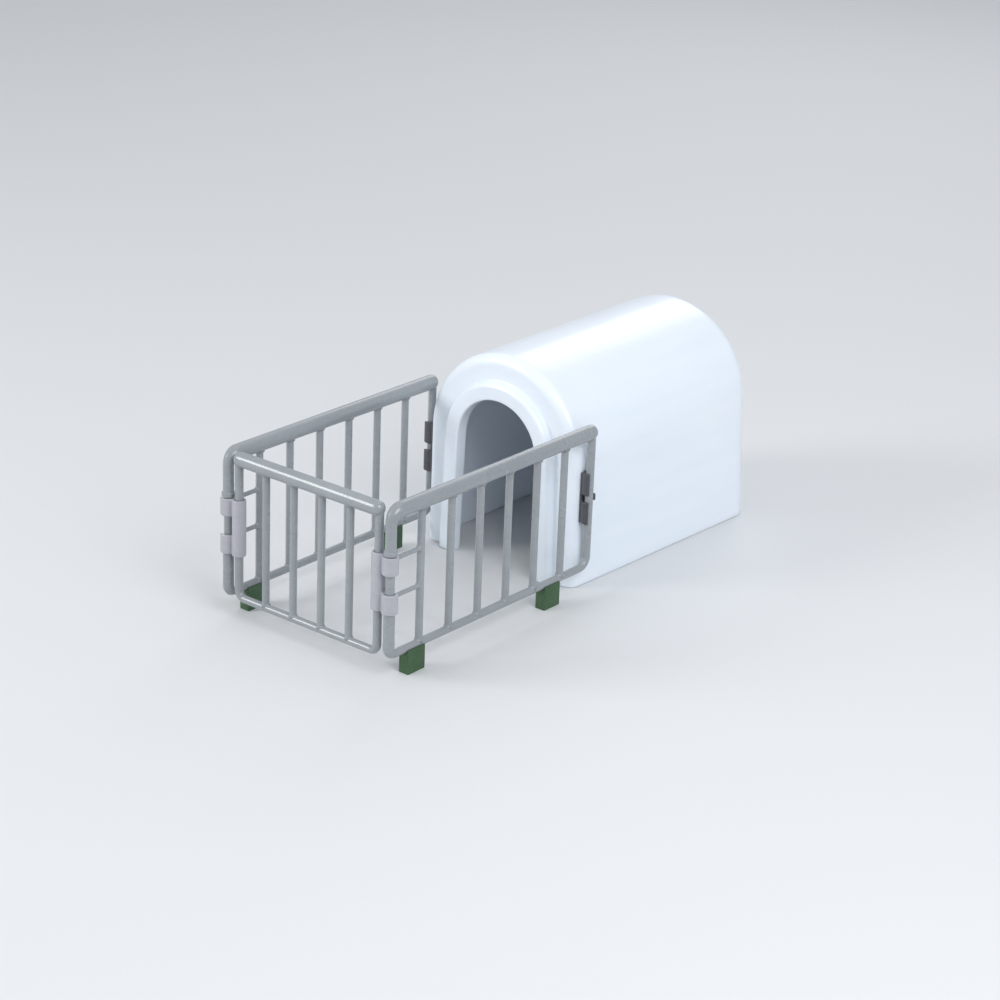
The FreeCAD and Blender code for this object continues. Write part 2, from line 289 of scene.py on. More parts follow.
@dataclass(frozen=True)
class PartingLine:
    """The thin raised line that the two halves of a mould leave along a rod."""

    height: float = 0.045
    width: float = 0.13
    sides: int = 36
    close_angle: float = 0.08

    def angles(self) -> np.ndarray:
        """Angles round a rod, closer together where the raised line runs.

        Returns:
            The angles in rising order.
        """
        even = np.linspace(0.0, FULL_TURN, self.sides, endpoint=False)
        close = self.close_angle * np.array([-2.0, -1.0, 1.0, 2.0])
        return np.unique(np.concatenate([even, np.mod(close, FULL_TURN), close + HALF_TURN]))

    def lift(self, angles: np.ndarray, radii: np.ndarray) -> np.ndarray:
        """Height of the line: a bell curve about the two angles where the mould halves meet.

        Args:
            angles: angles round the rod, shape (columns,).
            radii: the rod's radius at each ring, shape (rows, 1).

        Returns:
            How far each point is lifted, shape (rows, columns).
        """
        off_line = np.abs(np.mod(angles + QUARTER_TURN, HALF_TURN) - QUARTER_TURN)
        return self.height * np.exp(-np.square(off_line * radii / self.width))


def rod_surface(path: np.ndarray, radii: np.ndarray, plane: np.ndarray,
                parting: PartingLine = PartingLine()) -> np.ndarray:
    """Skin of a rod whose centre line lies in a plane.

    A point is the centre, plus the in-plane normal times the first radius times the cosine of
    the angle, plus the plane's axis times the second radius times its sine.

    Args:
        path: centre line, shape (rows, 3).
        radii: radius in the plane and across it, shape (rows, 2).
        plane: unit vector across the plane that the centre line lies in.
        parting: the mould's line along the rod.

    Returns:
        The rings as a grid, shape (rows, columns, 3).
    """
    heading = np.gradient(path, axis=0)
    heading /= np.linalg.norm(heading, axis=1, keepdims=True)
    normal = np.cross(np.broadcast_to(plane, heading.shape), heading)
    angles = parting.angles()
    open_end = np.minimum(1.0, radii.min(axis=1, keepdims=True) / parting.width)
    lift = parting.lift(angles, radii[:, :1]) * open_end
    along = (radii[:, :1] + lift) * np.cos(angles)
    across = (radii[:, 1:] + lift) * np.sin(angles)
    return (path[:, None, :] + along[..., None] * normal[:, None, :]
            + across[..., None] * plane[None, None, :])


class RodPath:
    """Centre line and radius of a moulded rod, laid stretch by stretch in one plane."""

    def __init__(self, plane: np.ndarray) -> None:
        """Start an empty path.

        Args:
            plane: unit vector across the plane of the path.
        """
        self.plane = plane
        self.points: list[np.ndarray] = []
        self.radii: list[np.ndarray] = []

    def _add(self, points: np.ndarray, radii: np.ndarray) -> None:
        """Add a stretch, leaving out its first point where the last stretch ended there.

        Args:
            points: the centre line, shape (rows, 3).
            radii: the radii in the plane and across it, shape (rows, 2).
        """
        if self.points and np.allclose(self.points[-1][-1], points[0], atol=1e-6):
            points = points[1:]
            radii = radii[1:]
        self.points.append(points)
        self.radii.append(radii)

    def point(self, place: np.ndarray) -> None:
        """Close the rod in a point, which caps the ring beside it."""
        self._add(place[None, :], np.zeros((1, 2)))

    def line(self, start: np.ndarray, end: np.ndarray, radius: Callable[[np.ndarray], np.ndarray],
             stations: np.ndarray) -> None:
        """Straight stretch.

        Args:
            start: its first point.
            end: its last point.
            radius: gives the radii, shape (rows, 2), for distances from the start.
            stations: distances from the start, in rising order.
        """
        run = end - start
        heading = run / np.linalg.norm(run)
        self._add(start + stations[:, None] * heading, radius(stations))

    def turn(self, centre: np.ndarray, arm: np.ndarray, end_arm: np.ndarray,
             start_radius: float, end_radius: float, steps: int = 14) -> None:
        """Quarter turn: centre plus cosine times one arm plus sine times the other.

        Args:
            centre: the turn's centre.
            arm: from the centre to the turn's start.
            end_arm: from the centre to its end.
            start_radius: the rod's radius where the turn starts.
            end_radius: the rod's radius where it ends.
            steps: how many rings the turn has.
        """
        share = np.linspace(0.0, 1.0, steps)
        angle = (share * QUARTER_TURN)[:, None]
        points = centre + np.cos(angle) * arm + np.sin(angle) * end_arm
        radii = start_radius + ease(share) * (end_radius - start_radius)
        self._add(points, np.stack([radii, radii], axis=1))

    def dome(self, centre: np.ndarray, heading: np.ndarray, radius: float, opening: bool,
             steps: int = 10) -> None:
        """Round end: the radius falls with the cosine while the centre moves on with the sine.

        Args:
            centre: the middle of the round end.
            heading: unit vector from the rod out through the end.
            radius: the rod's radius.
            opening: True at the path's start, where the end is laid from its tip.
            steps: how many rings the end has.
        """
        angle = np.linspace(0.0, QUARTER_TURN, steps)
        if opening:
            angle = angle[::-1]
        points = centre + (radius * np.sin(angle))[:, None] * heading
        radii = radius * np.cos(angle)
        self._add(points, np.stack([radii, radii], axis=1))

    def surface(self) -> np.ndarray:
        """The rod's skin as a grid of rings."""
        return rod_surface(np.concatenate(self.points), np.concatenate(self.radii), self.plane)


@dataclass(frozen=True)
class Bar:
    """Round bar between two rails, with a moulded fillet where it meets each of them."""

    radius: float
    fillet: float
    side_limits: tuple[float, float]
    stations: int = 14
    fillet_stations: int = 9
    tip: float = 0.01

    def surface(self, start: np.ndarray, end: np.ndarray, rail_radii: tuple[float, float],
                plane: np.ndarray) -> np.ndarray:
        """Skin of the bar.

        Within a fillet of the rail the radius grows as a quarter circle does. Across the
        panel's plane it stays under the rail's own half thickness.

        Args:
            start: a point on the first rail's axis.
            end: a point on the second rail's axis.
            rail_radii: the two rails' radii.
            plane: unit vector across the panel.

        Returns:
            The grid of rings.
        """
        length = float(np.linalg.norm(end - start))
        spots = (rail_radii[0] + self.fillet / 2, length - rail_radii[1] - self.fillet / 2)
        along = spread(0.0, length, self.stations, spots, self.fillet / 2, self.fillet_stations)
        growth = [self._growth(along - rail_radii[0]), self._growth(length - rail_radii[1] - along)]
        in_plane = self.radius + growth[0] + growth[1]
        near_start = along < length / 2
        limit = np.where(near_start, self.side_limits[0], self.side_limits[1])
        across = np.minimum(in_plane, np.maximum(limit, self.radius))
        closed_end = np.zeros(2)
        radii = np.vstack([closed_end, np.stack([in_plane, across], axis=1), closed_end])
        heading = (end - start) / length
        along = np.concatenate([[-self.tip], along, [length + self.tip]])
        return rod_surface(start + along[:, None] * heading, radii, plane)

    def _growth(self, clear: np.ndarray) -> np.ndarray:
        """How much a fillet adds at each distance from the rail's surface."""
        inside = np.clip((self.fillet - clear) / self.fillet, 0.0, 1.0)
        return self.fillet * (1.0 - np.sqrt(1.0 - np.square(inside)))


def box_outline(low_a: np.ndarray, high_a: np.ndarray, low_b: float, high_b: float,
                edge: float, steps: int = 5) -> tuple[np.ndarray, np.ndarray]:
    """Rounded rectangle in two measures, going once round.

    A corner's point is its centre plus the edge radius times the angle's cosine and sine.

    Args:
        low_a: the first measure's low side, one value for each section.
        high_a: its high side.
        low_b: the second measure's low side.
        high_b: its high side.
        edge: radius of the four corners.
        steps: points in each corner.

    Returns:
        Both measures, shape (sections, points).
    """
    edge_here = np.minimum(edge, np.maximum(high_a - low_a, LEAST_WIDTH) / CORNER_LIMIT)[:, None]
    angle = np.linspace(0.0, QUARTER_TURN, steps)
    turns = np.concatenate([angle + turn * QUARTER_TURN for turn in range(4)])
    signs_a = np.repeat([1.0, -1.0, -1.0, 1.0], steps)
    signs_b = np.repeat([1.0, 1.0, -1.0, -1.0], steps)
    middle_a = ((low_a + high_a) / 2)[:, None]
    half_a = ((high_a - low_a) / 2)[:, None]
    middle_b = (low_b + high_b) / 2
    half_b = (high_b - low_b) / 2
    first = middle_a + signs_a * (half_a - edge_here) + edge_here * np.cos(turns)
    second = middle_b + signs_b * (half_b - edge_here) + edge_here * np.sin(turns)
    return first, second


@dataclass(frozen=True)
class Collar:
    """Part of a ring about an upright axis, with rounded edges."""

    centre: tuple[float, float]
    outer: float
    low: float
    high: float
    edge: float

    def _carried(self, angles: np.ndarray, radial: np.ndarray, height: np.ndarray) -> np.ndarray:
        """Sections carried round the axis: distance times the angle's cosine and sine, and height.

        Args:
            angles: one angle for each section.
            radial: distances from the axis, shape (sections, points).
            height: heights, shape (sections, points).

        Returns:
            The grid of sections.
        """
        turned = angles[:, None]
        return np.stack([self.centre[0] + radial * np.cos(turned),
                         self.centre[1] + radial * np.sin(turned), height], axis=-1)

    def surface(self, start: float, end: float, inner: Callable[[np.ndarray], np.ndarray],
                sections: int = 48) -> np.ndarray:
        """Skin of a part of the ring: a rounded rectangle round the axis, closed at its two ends.

        Args:
            start: first angle, in radians.
            end: last angle.
            inner: gives the inner radius at each angle.
            sections: how many sections there are.

        Returns:
            The grid of sections.
        """
        angles = np.linspace(start, end, sections)
        sides = box_outline(inner(angles), np.full(sections, self.outer), self.low, self.high, self.edge)
        radial, height = (np.vstack([np.full_like(side[:1], side[0].mean()), side,
                                     np.full_like(side[:1], side[-1].mean())]) for side in sides)
        return self._carried(np.concatenate([angles[:1], angles, angles[-1:]]), radial, height)

    def full_ring(self, inner: float, sections: int = 64) -> np.ndarray:
        """Skin of the whole ring, to be joined end to end.

        Args:
            inner: the inner radius.
            sections: how many sections there are.

        Returns:
            The grid of sections.
        """
        angles = np.linspace(0.0, FULL_TURN, sections, endpoint=False)
        radial, height = box_outline(np.full(sections, inner), np.full(sections, self.outer),
                                     self.low, self.high, self.edge)
        return self._carried(angles, radial, height)


def rounded_block(low: np.ndarray, high: np.ndarray, edge: float, steps: int = 6) -> np.ndarray:
    """Skin of a block with rounded upright edges and softened ends.

    A rounded rectangle in X and Y is carried up Z. Near each end it draws in by the edge
    radius, less the square root of what a circle leaves, and it closes at the end.

    Args:
        low: lowest corner.
        high: highest corner.
        edge: radius of the edges.
        steps: sections in each softened end.

    Returns:
        The grid of sections.
    """
    angle = np.linspace(0.0, QUARTER_TURN, steps)
    rise = edge * (1.0 - np.cos(angle))
    inset = edge * (1.0 - np.sin(angle))
    depth = np.concatenate([[edge], inset, inset[::-1], [edge]])
    height = np.concatenate([[low[2]], low[2] + rise, high[2] - rise[::-1], [high[2]]])
    x, y = box_outline(low[0] + depth, high[0] - depth, low[1], high[1], edge)
    middle_y = (low[1] + high[1]) / 2
    half_y = (high[1] - low[1]) / 2
    y = middle_y + (y - middle_y) * ((half_y - depth) / half_y)[:, None]
    middle_x = (low[0] + high[0]) / 2
    x[0] = x[-1] = middle_x
    y[0] = y[-1] = middle_y
    return np.stack([x, y, np.broadcast_to(height[:, None], x.shape)], axis=-1)


# ---------------------------------------------------------------- finishes


PLASTIC_IOR = 1.49
GLOW_SHARE = 0.18                      # share of the light that goes under a glowing plastic's skin
GLOW_REACH = (1.0, 0.9, 0.85)          # red, green and blue, as shares of the glow's depth
LEAST_GLOW_DEPTH = 0.1                 # for the plastics that don't glow
SMEAR_TO_DRIFT = 1.3                   # a smear's size for a pigment's drift size
LINES_TO_DRIFT = 5.0                   # a flow line's size for the drift size
FLOW_STRETCH = (1.0, 0.25, 3.0)        # flow lines run along the piece
SCUFF_STRETCHES = ((1.0, 14.0, 9.0), (12.0, 1.0, 10.0))   # two ways that scuffs run
SCUFF_BAND = (0.66, 0.72)              # only the noise's peaks count as scuffs
MIDDLE_BAND = (0.3, 0.7)               # where most of a noise's values lie
DRIFT_SHARE = 0.6                      # the rest comes from flow lines
SMEAR_SHARE = 0.8                      # the rest comes from scuffs
PIT_EDGE = 0.22                        # distance from a cell's middle at which its pit ends


class NodeBench:
    """Small helper that places and links shader nodes in one tree."""

    def __init__(self, tree: bpy.types.NodeTree) -> None:
        """Work in the given tree."""
        self.tree = tree

    def add(self, kind: str, inputs: dict[str, object] | None = None, **settings: object) -> bpy.types.Node:
        """Place a node.

        Args:
            kind: the node's type name.
            inputs: values or sockets for its inputs, by name.
            settings: properties of the node.

        Returns:
            The new node.
        """
        node = self.tree.nodes.new(kind)
        for name, value in settings.items():
            setattr(node, name, value)
        for name, value in (inputs or {}).items():
            self.feed(node.inputs[name], value)
        return node

    def feed(self, socket: bpy.types.NodeSocket, value: object) -> None:
        """Link a socket to an input, or set the input's own value.

        Args:
            socket: the input.
            value: a socket, or the value.
        """
        if isinstance(value, bpy.types.NodeSocket):
            self.tree.links.new(value, socket)
        else:
            socket.default_value = value

    def maths(self, operation: str, first: object, second: object = 0.0) -> bpy.types.NodeSocket:
        """Result of a Math node on two values.

        Args:
            operation: the node's operation.
            first: a socket or a number.
            second: a socket or a number.

        Returns:
            The result's socket.
        """
        node = self.add("ShaderNodeMath", operation=operation)
        self.feed(node.inputs[0], first)
        self.feed(node.inputs[1], second)
        return node.outputs[0]

    def noise(self, vector: bpy.types.NodeSocket, size: object, detail: float,
              rough: float = 0.5) -> bpy.types.NodeSocket:
        """Value of a noise texture."""
        node = self.add("ShaderNodeTexNoise", {"Vector": vector, "Scale": size, "Detail": detail,
                                               "Roughness": rough})
        return node.outputs["Fac"]

    def remap(self, value: bpy.types.NodeSocket, low: object, high: object, to_low: object,
              to_high: object) -> bpy.types.NodeSocket:
        """Value carried from one range to another and held at its ends."""
        node = self.add("ShaderNodeMapRange", {"Value": value, "From Min": low, "From Max": high,
                                               "To Min": to_low, "To Max": to_high})
        return node.outputs["Result"]


class EffectGroup(Enum):
    """The shared surface effects, each a node group that is built once."""

    MOULD_GRAIN = "mould_grain"
    PIGMENT_FLOW = "pigment_flow"
    HANDLING_MARKS = "handling_marks"


class EffectShop:
    """Builds the shared node groups and hands them out."""

    def __init__(self) -> None:
        """Build every group."""
        self.groups: dict[EffectGroup, bpy.types.ShaderNodeTree] = {
            EffectGroup.MOULD_GRAIN: self._mould_grain(),
            EffectGroup.PIGMENT_FLOW: self._pigment_flow(),
            EffectGroup.HANDLING_MARKS: self._handling_marks(),
        }

    @staticmethod
    def _start(group: EffectGroup, inputs: dict[str, float | tuple[float, ...]],
               output: str) -> tuple[NodeBench, bpy.types.Node, bpy.types.Node]:
        """Make an empty group with a Vector input, the named inputs and one output.

        Args:
            group: which effect it is.
            inputs: the default for each input name: a number, or a colour's four numbers.
            output: the output's name, Color or the name of a number.

        Returns:
            A bench for its nodes, its input node and its output node.
        """
        tree = bpy.data.node_groups.new(group.value, "ShaderNodeTree")
        tree.interface.new_socket("Vector", in_out="INPUT", socket_type="NodeSocketVector")
        for label, value in inputs.items():
            kind = "NodeSocketColor" if isinstance(value, tuple) else "NodeSocketFloat"
            socket = tree.interface.new_socket(label, in_out="INPUT", socket_type=kind)
            socket.default_value = value
        kind = "NodeSocketColor" if output == "Color" else "NodeSocketFloat"
        tree.interface.new_socket(output, in_out="OUTPUT", socket_type=kind)
        bench = NodeBench(tree)
        return bench, bench.add("NodeGroupInput"), bench.add("NodeGroupOutput")

    def _mould_grain(self) -> bpy.types.ShaderNodeTree:
        """Relief of a moulded skin: slow swells plus a fine orange peel, less tiny pits.

        Returns:
            The group.
        """
        bench, enter, leave = self._start(
            EffectGroup.MOULD_GRAIN,
            {"Swell Size": 60.0, "Peel Size": 900.0, "Pit Size": 1800.0, "Peel Share": 0.3,
             "Pit Share": 0.15}, "Height")
        vector = enter.outputs["Vector"]
        swell = bench.noise(vector, enter.outputs["Swell Size"], 1.0)
        peel = bench.noise(vector, enter.outputs["Peel Size"], 2.0)
        cells = bench.add("ShaderNodeTexVoronoi", {"Vector": vector, "Scale": enter.outputs["Pit Size"]})
        pits = bench.remap(cells.outputs["Distance"], 0.0, PIT_EDGE, 1.0, 0.0)
        peel_part = bench.maths("MULTIPLY", peel, enter.outputs["Peel Share"])
        pit_part = bench.maths("MULTIPLY", pits, enter.outputs["Pit Share"])
        height = bench.maths("SUBTRACT", bench.maths("ADD", swell, peel_part), pit_part)
        bench.feed(leave.inputs["Height"], height)
        return bench.tree

    def _pigment_flow(self) -> bpy.types.ShaderNodeTree:
        """Colour of a pigmented plastic: dark to light by broad drift, flow lines and fine specks.

        Returns:
            The group.
        """
        bench, enter, leave = self._start(
            EffectGroup.PIGMENT_FLOW,
            {"Light Colour": (1.0, 1.0, 1.0, 1.0), "Dark Colour": (0.0, 0.0, 0.0, 1.0),
             "Drift Size": 40.0, "Speck Size": 3000.0, "Speck Share": 0.2}, "Color")
        vector = enter.outputs["Vector"]
        drift = bench.noise(vector, enter.outputs["Drift Size"], 3.0)
        warp = bench.add("ShaderNodeVectorMath", {0: vector, 1: FLOW_STRETCH}, operation="MULTIPLY")
        line_size = bench.maths("MULTIPLY", enter.outputs["Drift Size"], LINES_TO_DRIFT)
        lines = bench.noise(warp.outputs["Vector"], line_size, 4.0, 0.6)
        specks = bench.noise(vector, enter.outputs["Speck Size"], 1.0)
        flow = bench.maths("ADD", bench.maths("MULTIPLY", drift, DRIFT_SHARE),
                           bench.maths("MULTIPLY", lines, 1.0 - DRIFT_SHARE))
        speck_part = bench.maths("MULTIPLY", bench.maths("SUBTRACT", specks, 0.5),
                                 enter.outputs["Speck Share"])
        blend = bench.remap(bench.maths("ADD", flow, speck_part), *MIDDLE_BAND, 0.0, 1.0)
        mix = bench.add("ShaderNodeMix", data_type="RGBA")
        bench.feed(mix.inputs["Factor"], blend)
        bench.feed(mix.inputs[6], enter.outputs["Dark Colour"])
        bench.feed(mix.inputs[7], enter.outputs["Light Colour"])
        bench.feed(leave.inputs["Color"], mix.outputs[2])
        return bench.tree

    def _handling_marks(self) -> bpy.types.ShaderNodeTree:
        """Roughness of a handled surface: low to high by soft smears and thin crossing scuffs.

        Returns:
            The group.
        """
        bench, enter, leave = self._start(
            EffectGroup.HANDLING_MARKS,
            {"Smear Size": 50.0, "Scuff Size": 400.0, "Low": 0.2, "High": 0.4}, "Roughness")
        vector = enter.outputs["Vector"]
        smear = bench.noise(vector, enter.outputs["Smear Size"], 4.0, 0.6)
        ways = []
        for stretch in SCUFF_STRETCHES:
            drawn = bench.add("ShaderNodeVectorMath", {0: vector, 1: stretch}, operation="MULTIPLY")
            line = bench.noise(drawn.outputs["Vector"], enter.outputs["Scuff Size"], 2.0)
            ways.append(bench.remap(line, *SCUFF_BAND, 0.0, 1.0))
        scuffs = bench.maths("MAXIMUM", ways[0], ways[1])
        level = bench.maths("ADD", bench.remap(smear, *MIDDLE_BAND, 0.0, SMEAR_SHARE),
                            bench.maths("MULTIPLY", scuffs, 1.0 - SMEAR_SHARE))
        bench.feed(leave.inputs["Roughness"],
                   bench.remap(level, 0.0, 1.0, enter.outputs["Low"], enter.outputs["High"]))
        return bench.tree


@dataclass(frozen=True)
class MouldedPlastic:
    """A moulded plastic: its pigment, its gloss and the relief of its mould."""

    name: str
    light: tuple[float, float, float]
    dark: tuple[float, float, float]
    rough_low: float
    rough_high: float
    drift_size: float = 40.0
    speck_share: float = 0.2
    swell_size: float = 60.0
    peel_size: float = 900.0
    pit_size: float = 1800.0
    peel_share: float = 0.3
    pit_share: float = 0.1
    relief: float = 0.05
    coat: float = 0.0
    coat_rough: float = 0.1
    glow_depth: float = 0.0
    scuff_size: float = 400.0

    def build(self, shop: EffectShop) -> bpy.types.Material:
        """Make the material.

        Args:
            shop: where the shared effects come from.

        Returns:
            The material, with its colour, gloss and relief taken from Object coordinates.
        """
        material = bpy.data.materials.new(self.name)
        material.use_nodes = True
        material.node_tree.nodes.clear()
        bench = NodeBench(material.node_tree)
        place = bench.add("ShaderNodeTexCoord").outputs["Object"]
        shader = bench.add("ShaderNodeBsdfPrincipled", {
            "Coat Weight": self.coat, "Coat Roughness": self.coat_rough, "IOR": PLASTIC_IOR,
            "Subsurface Weight": GLOW_SHARE if self.glow_depth else 0.0,
            "Subsurface Radius": GLOW_REACH,
            "Subsurface Scale": max(self.glow_depth, LEAST_GLOW_DEPTH) * MM})
        leave = bench.add("ShaderNodeOutputMaterial")
        bench.feed(leave.inputs["Surface"], shader.outputs["BSDF"])
        pigment = bench.add("ShaderNodeGroup", {
            "Vector": place, "Light Colour": (*self.light, 1.0), "Dark Colour": (*self.dark, 1.0),
            "Drift Size": self.drift_size, "Speck Share": self.speck_share},
            node_tree=shop.groups[EffectGroup.PIGMENT_FLOW])
        marks = bench.add("ShaderNodeGroup", {
            "Vector": place, "Smear Size": self.drift_size * SMEAR_TO_DRIFT,
            "Scuff Size": self.scuff_size, "Low": self.rough_low, "High": self.rough_high},
            node_tree=shop.groups[EffectGroup.HANDLING_MARKS])
        grain = bench.add("ShaderNodeGroup", {
            "Vector": place, "Swell Size": self.swell_size, "Peel Size": self.peel_size,
            "Pit Size": self.pit_size, "Peel Share": self.peel_share, "Pit Share": self.pit_share},
            node_tree=shop.groups[EffectGroup.MOULD_GRAIN])
        bump = bench.add("ShaderNodeBump", {"Strength": 1.0, "Distance": self.relief * MM,
                                            "Height": grain.outputs["Height"]})
        bench.feed(shader.inputs["Base Color"], pigment.outputs["Color"])
        bench.feed(shader.inputs["Roughness"], marks.outputs["Roughness"])
        bench.feed(shader.inputs["Normal"], bump.outputs["Normal"])
        return material


class Finish(Enum):
    """The plastics that the toy is moulded in. The wall clips' near-black and the feet's dark green also
    hold painted shade.
    """

    SHELL = MouldedPlastic("shell_plastic", (0.82, 0.875, 0.935), (0.75, 0.815, 0.89), 0.27, 0.33,
                           drift_size=18.0, speck_share=0.05, swell_size=45.0, relief=0.12,
                           peel_share=0.05, pit_share=0.01, coat=0.25, coat_rough=0.14, glow_depth=1.2)
    RAIL = MouldedPlastic("rail_plastic", (0.30, 0.325, 0.34), (0.235, 0.255, 0.27), 0.25, 0.33,
                          speck_share=0.4, relief=0.05, coat=0.5, coat_rough=0.14)
    CLIP = MouldedPlastic("clip_plastic", (0.42, 0.42, 0.455), (0.35, 0.35, 0.385), 0.26, 0.38,
                          speck_share=0.4, relief=0.05, coat=0.4, coat_rough=0.16)
    # wall clips: the near-black colour is painted shade and painted dark reflection beside the rear posts
    WALL_CLIP = MouldedPlastic("wall_clip_plastic", (0.09, 0.09, 0.105), (0.05, 0.05, 0.06), 0.3, 0.5,
                               relief=0.05)
    # feet: the dark green is partly the feet's own dark plastic and partly painted shade and a painted
    # green reflection
    FOOT = MouldedPlastic("foot_plastic", (0.052, 0.12, 0.05), (0.03, 0.072, 0.03), 0.42, 0.62,
                          drift_size=160.0, speck_share=0.6, relief=0.06, pit_share=0.5, peel_share=0.6)


class Palette:
    """The finished materials, one for each finish, shared by all the pieces."""

    def __init__(self) -> None:
        """Build every material."""
        shop = EffectShop()
        self.materials = {finish: finish.value.build(shop) for finish in Finish}

    def dress(self, piece: bpy.types.Object, finish: Finish) -> None:
        """Give a piece its one material, in place of any that it has."""
        piece.data.materials.clear()
        piece.data.materials.append(self.materials[finish])


def hand_over(piece: bpy.types.Object, body: str, node: str, finish: Finish, palette: Palette) -> None:
    """Dress a finished piece, let it stand for its CAD node and ride on that node's body.

    Args:
        piece: the finished object.
        body: the CAD body that it moves with.
        node: the CAD node that it replaces.
        finish: its plastic.
        palette: the materials.
    """
    palette.dress(piece, finish)
    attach(piece, body)
    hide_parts(node)
    log.info("%s: %d faces, rides on %s", piece.name, len(piece.data.polygons), body)


# ---------------------------------------------------------------- the hutch


@dataclass(frozen=True)
class ArchFamily:
    """Arches set out by their half width at the ground, crown radius and crown height."""

    half: np.ndarray
    radius: np.ndarray
    crown: np.ndarray

    def outset(self, by: np.ndarray | float) -> "ArchFamily":
        """The same arches moved outwards by a distance, keeping the slope of their legs."""
        flare = self.flare()
        return ArchFamily(self.half + by / np.cos(flare), self.radius + by, self.crown + by)

    def flare(self) -> np.ndarray:
        """Angle of the legs from upright, so that they touch the crown's circle.

        It is the angle whose cosine is the radius over the way from the foot to the circle's
        centre, less that way's own slope.

        Returns:
            One angle for each arch.
        """
        rise = self.crown - self.radius
        span = np.hypot(self.half, rise)
        return np.arccos(np.clip(self.radius / span, -1.0, 1.0)) - np.arctan2(rise, self.half)

    def blend(self, other: "ArchFamily", share: np.ndarray) -> "ArchFamily":
        """Arches part of the way from this family to another."""
        return ArchFamily(self.half + share * (other.half - self.half),
                          self.radius + share * (other.radius - self.radius),
                          self.crown + share * (other.crown - self.crown))

    def points(self, y: np.ndarray, foot: np.ndarray, leg_steps: int,
               crown_steps: int) -> np.ndarray:
        """Points along each arch, from the right foot over the crown to the left foot.

        A leg is the straight line from its foot to where it touches the circle, and the crown
        is the circle's angle from the flare to a half turn less the flare.

        Args:
            y: each arch's place along the hutch.
            foot: height of the feet.
            leg_steps: points in a leg.
            crown_steps: points in the crown.

        Returns:
            The points, shape (arches, points, 3).
        """
        flare = self.flare()[:, None]
        radius = self.radius[:, None]
        rise = (self.crown - self.radius)[:, None]
        foot = foot[:, None]
        leg = np.linspace(0.0, 1.0, leg_steps, endpoint=False)
        touch_x = radius * np.cos(flare)
        touch_z = rise + radius * np.sin(flare)
        foot_x = self.half[:, None] - foot * np.tan(flare)
        leg_x = foot_x + leg * (touch_x - foot_x)
        leg_z = foot + leg * (touch_z - foot)
        angle = flare + np.linspace(0.0, 1.0, crown_steps) * (HALF_TURN - 2 * flare)
        x = np.hstack([leg_x, radius * np.cos(angle), -leg_x[:, ::-1]])
        z = np.hstack([leg_z, rise + radius * np.sin(angle), leg_z[:, ::-1]])
        return np.stack([x, np.broadcast_to(y[:, None], x.shape), z], axis=-1)


@dataclass(frozen=True)
class ArchCounts:
    """How many arches each stretch of the shell has."""

    wall: int = 16
    rear_turn: int = 14
    body: int = 36
    front_turn: int = 14
    face: int = 10
    rim_root: int = 7
    rim_turn: int = 9
    rim_face: int = 6
    door_turn: int = 8
    jamb: int = 4


@dataclass(frozen=True)
class Swell:
    """Slow waves that a thin moulding cools into."""

    depth: float = 0.05
    middle_height: float = 22.0
    wave_length: float = 9.0
    wave_start: float = 0.7
    waves_round: float = 2.3
    round_start: float = 0.4


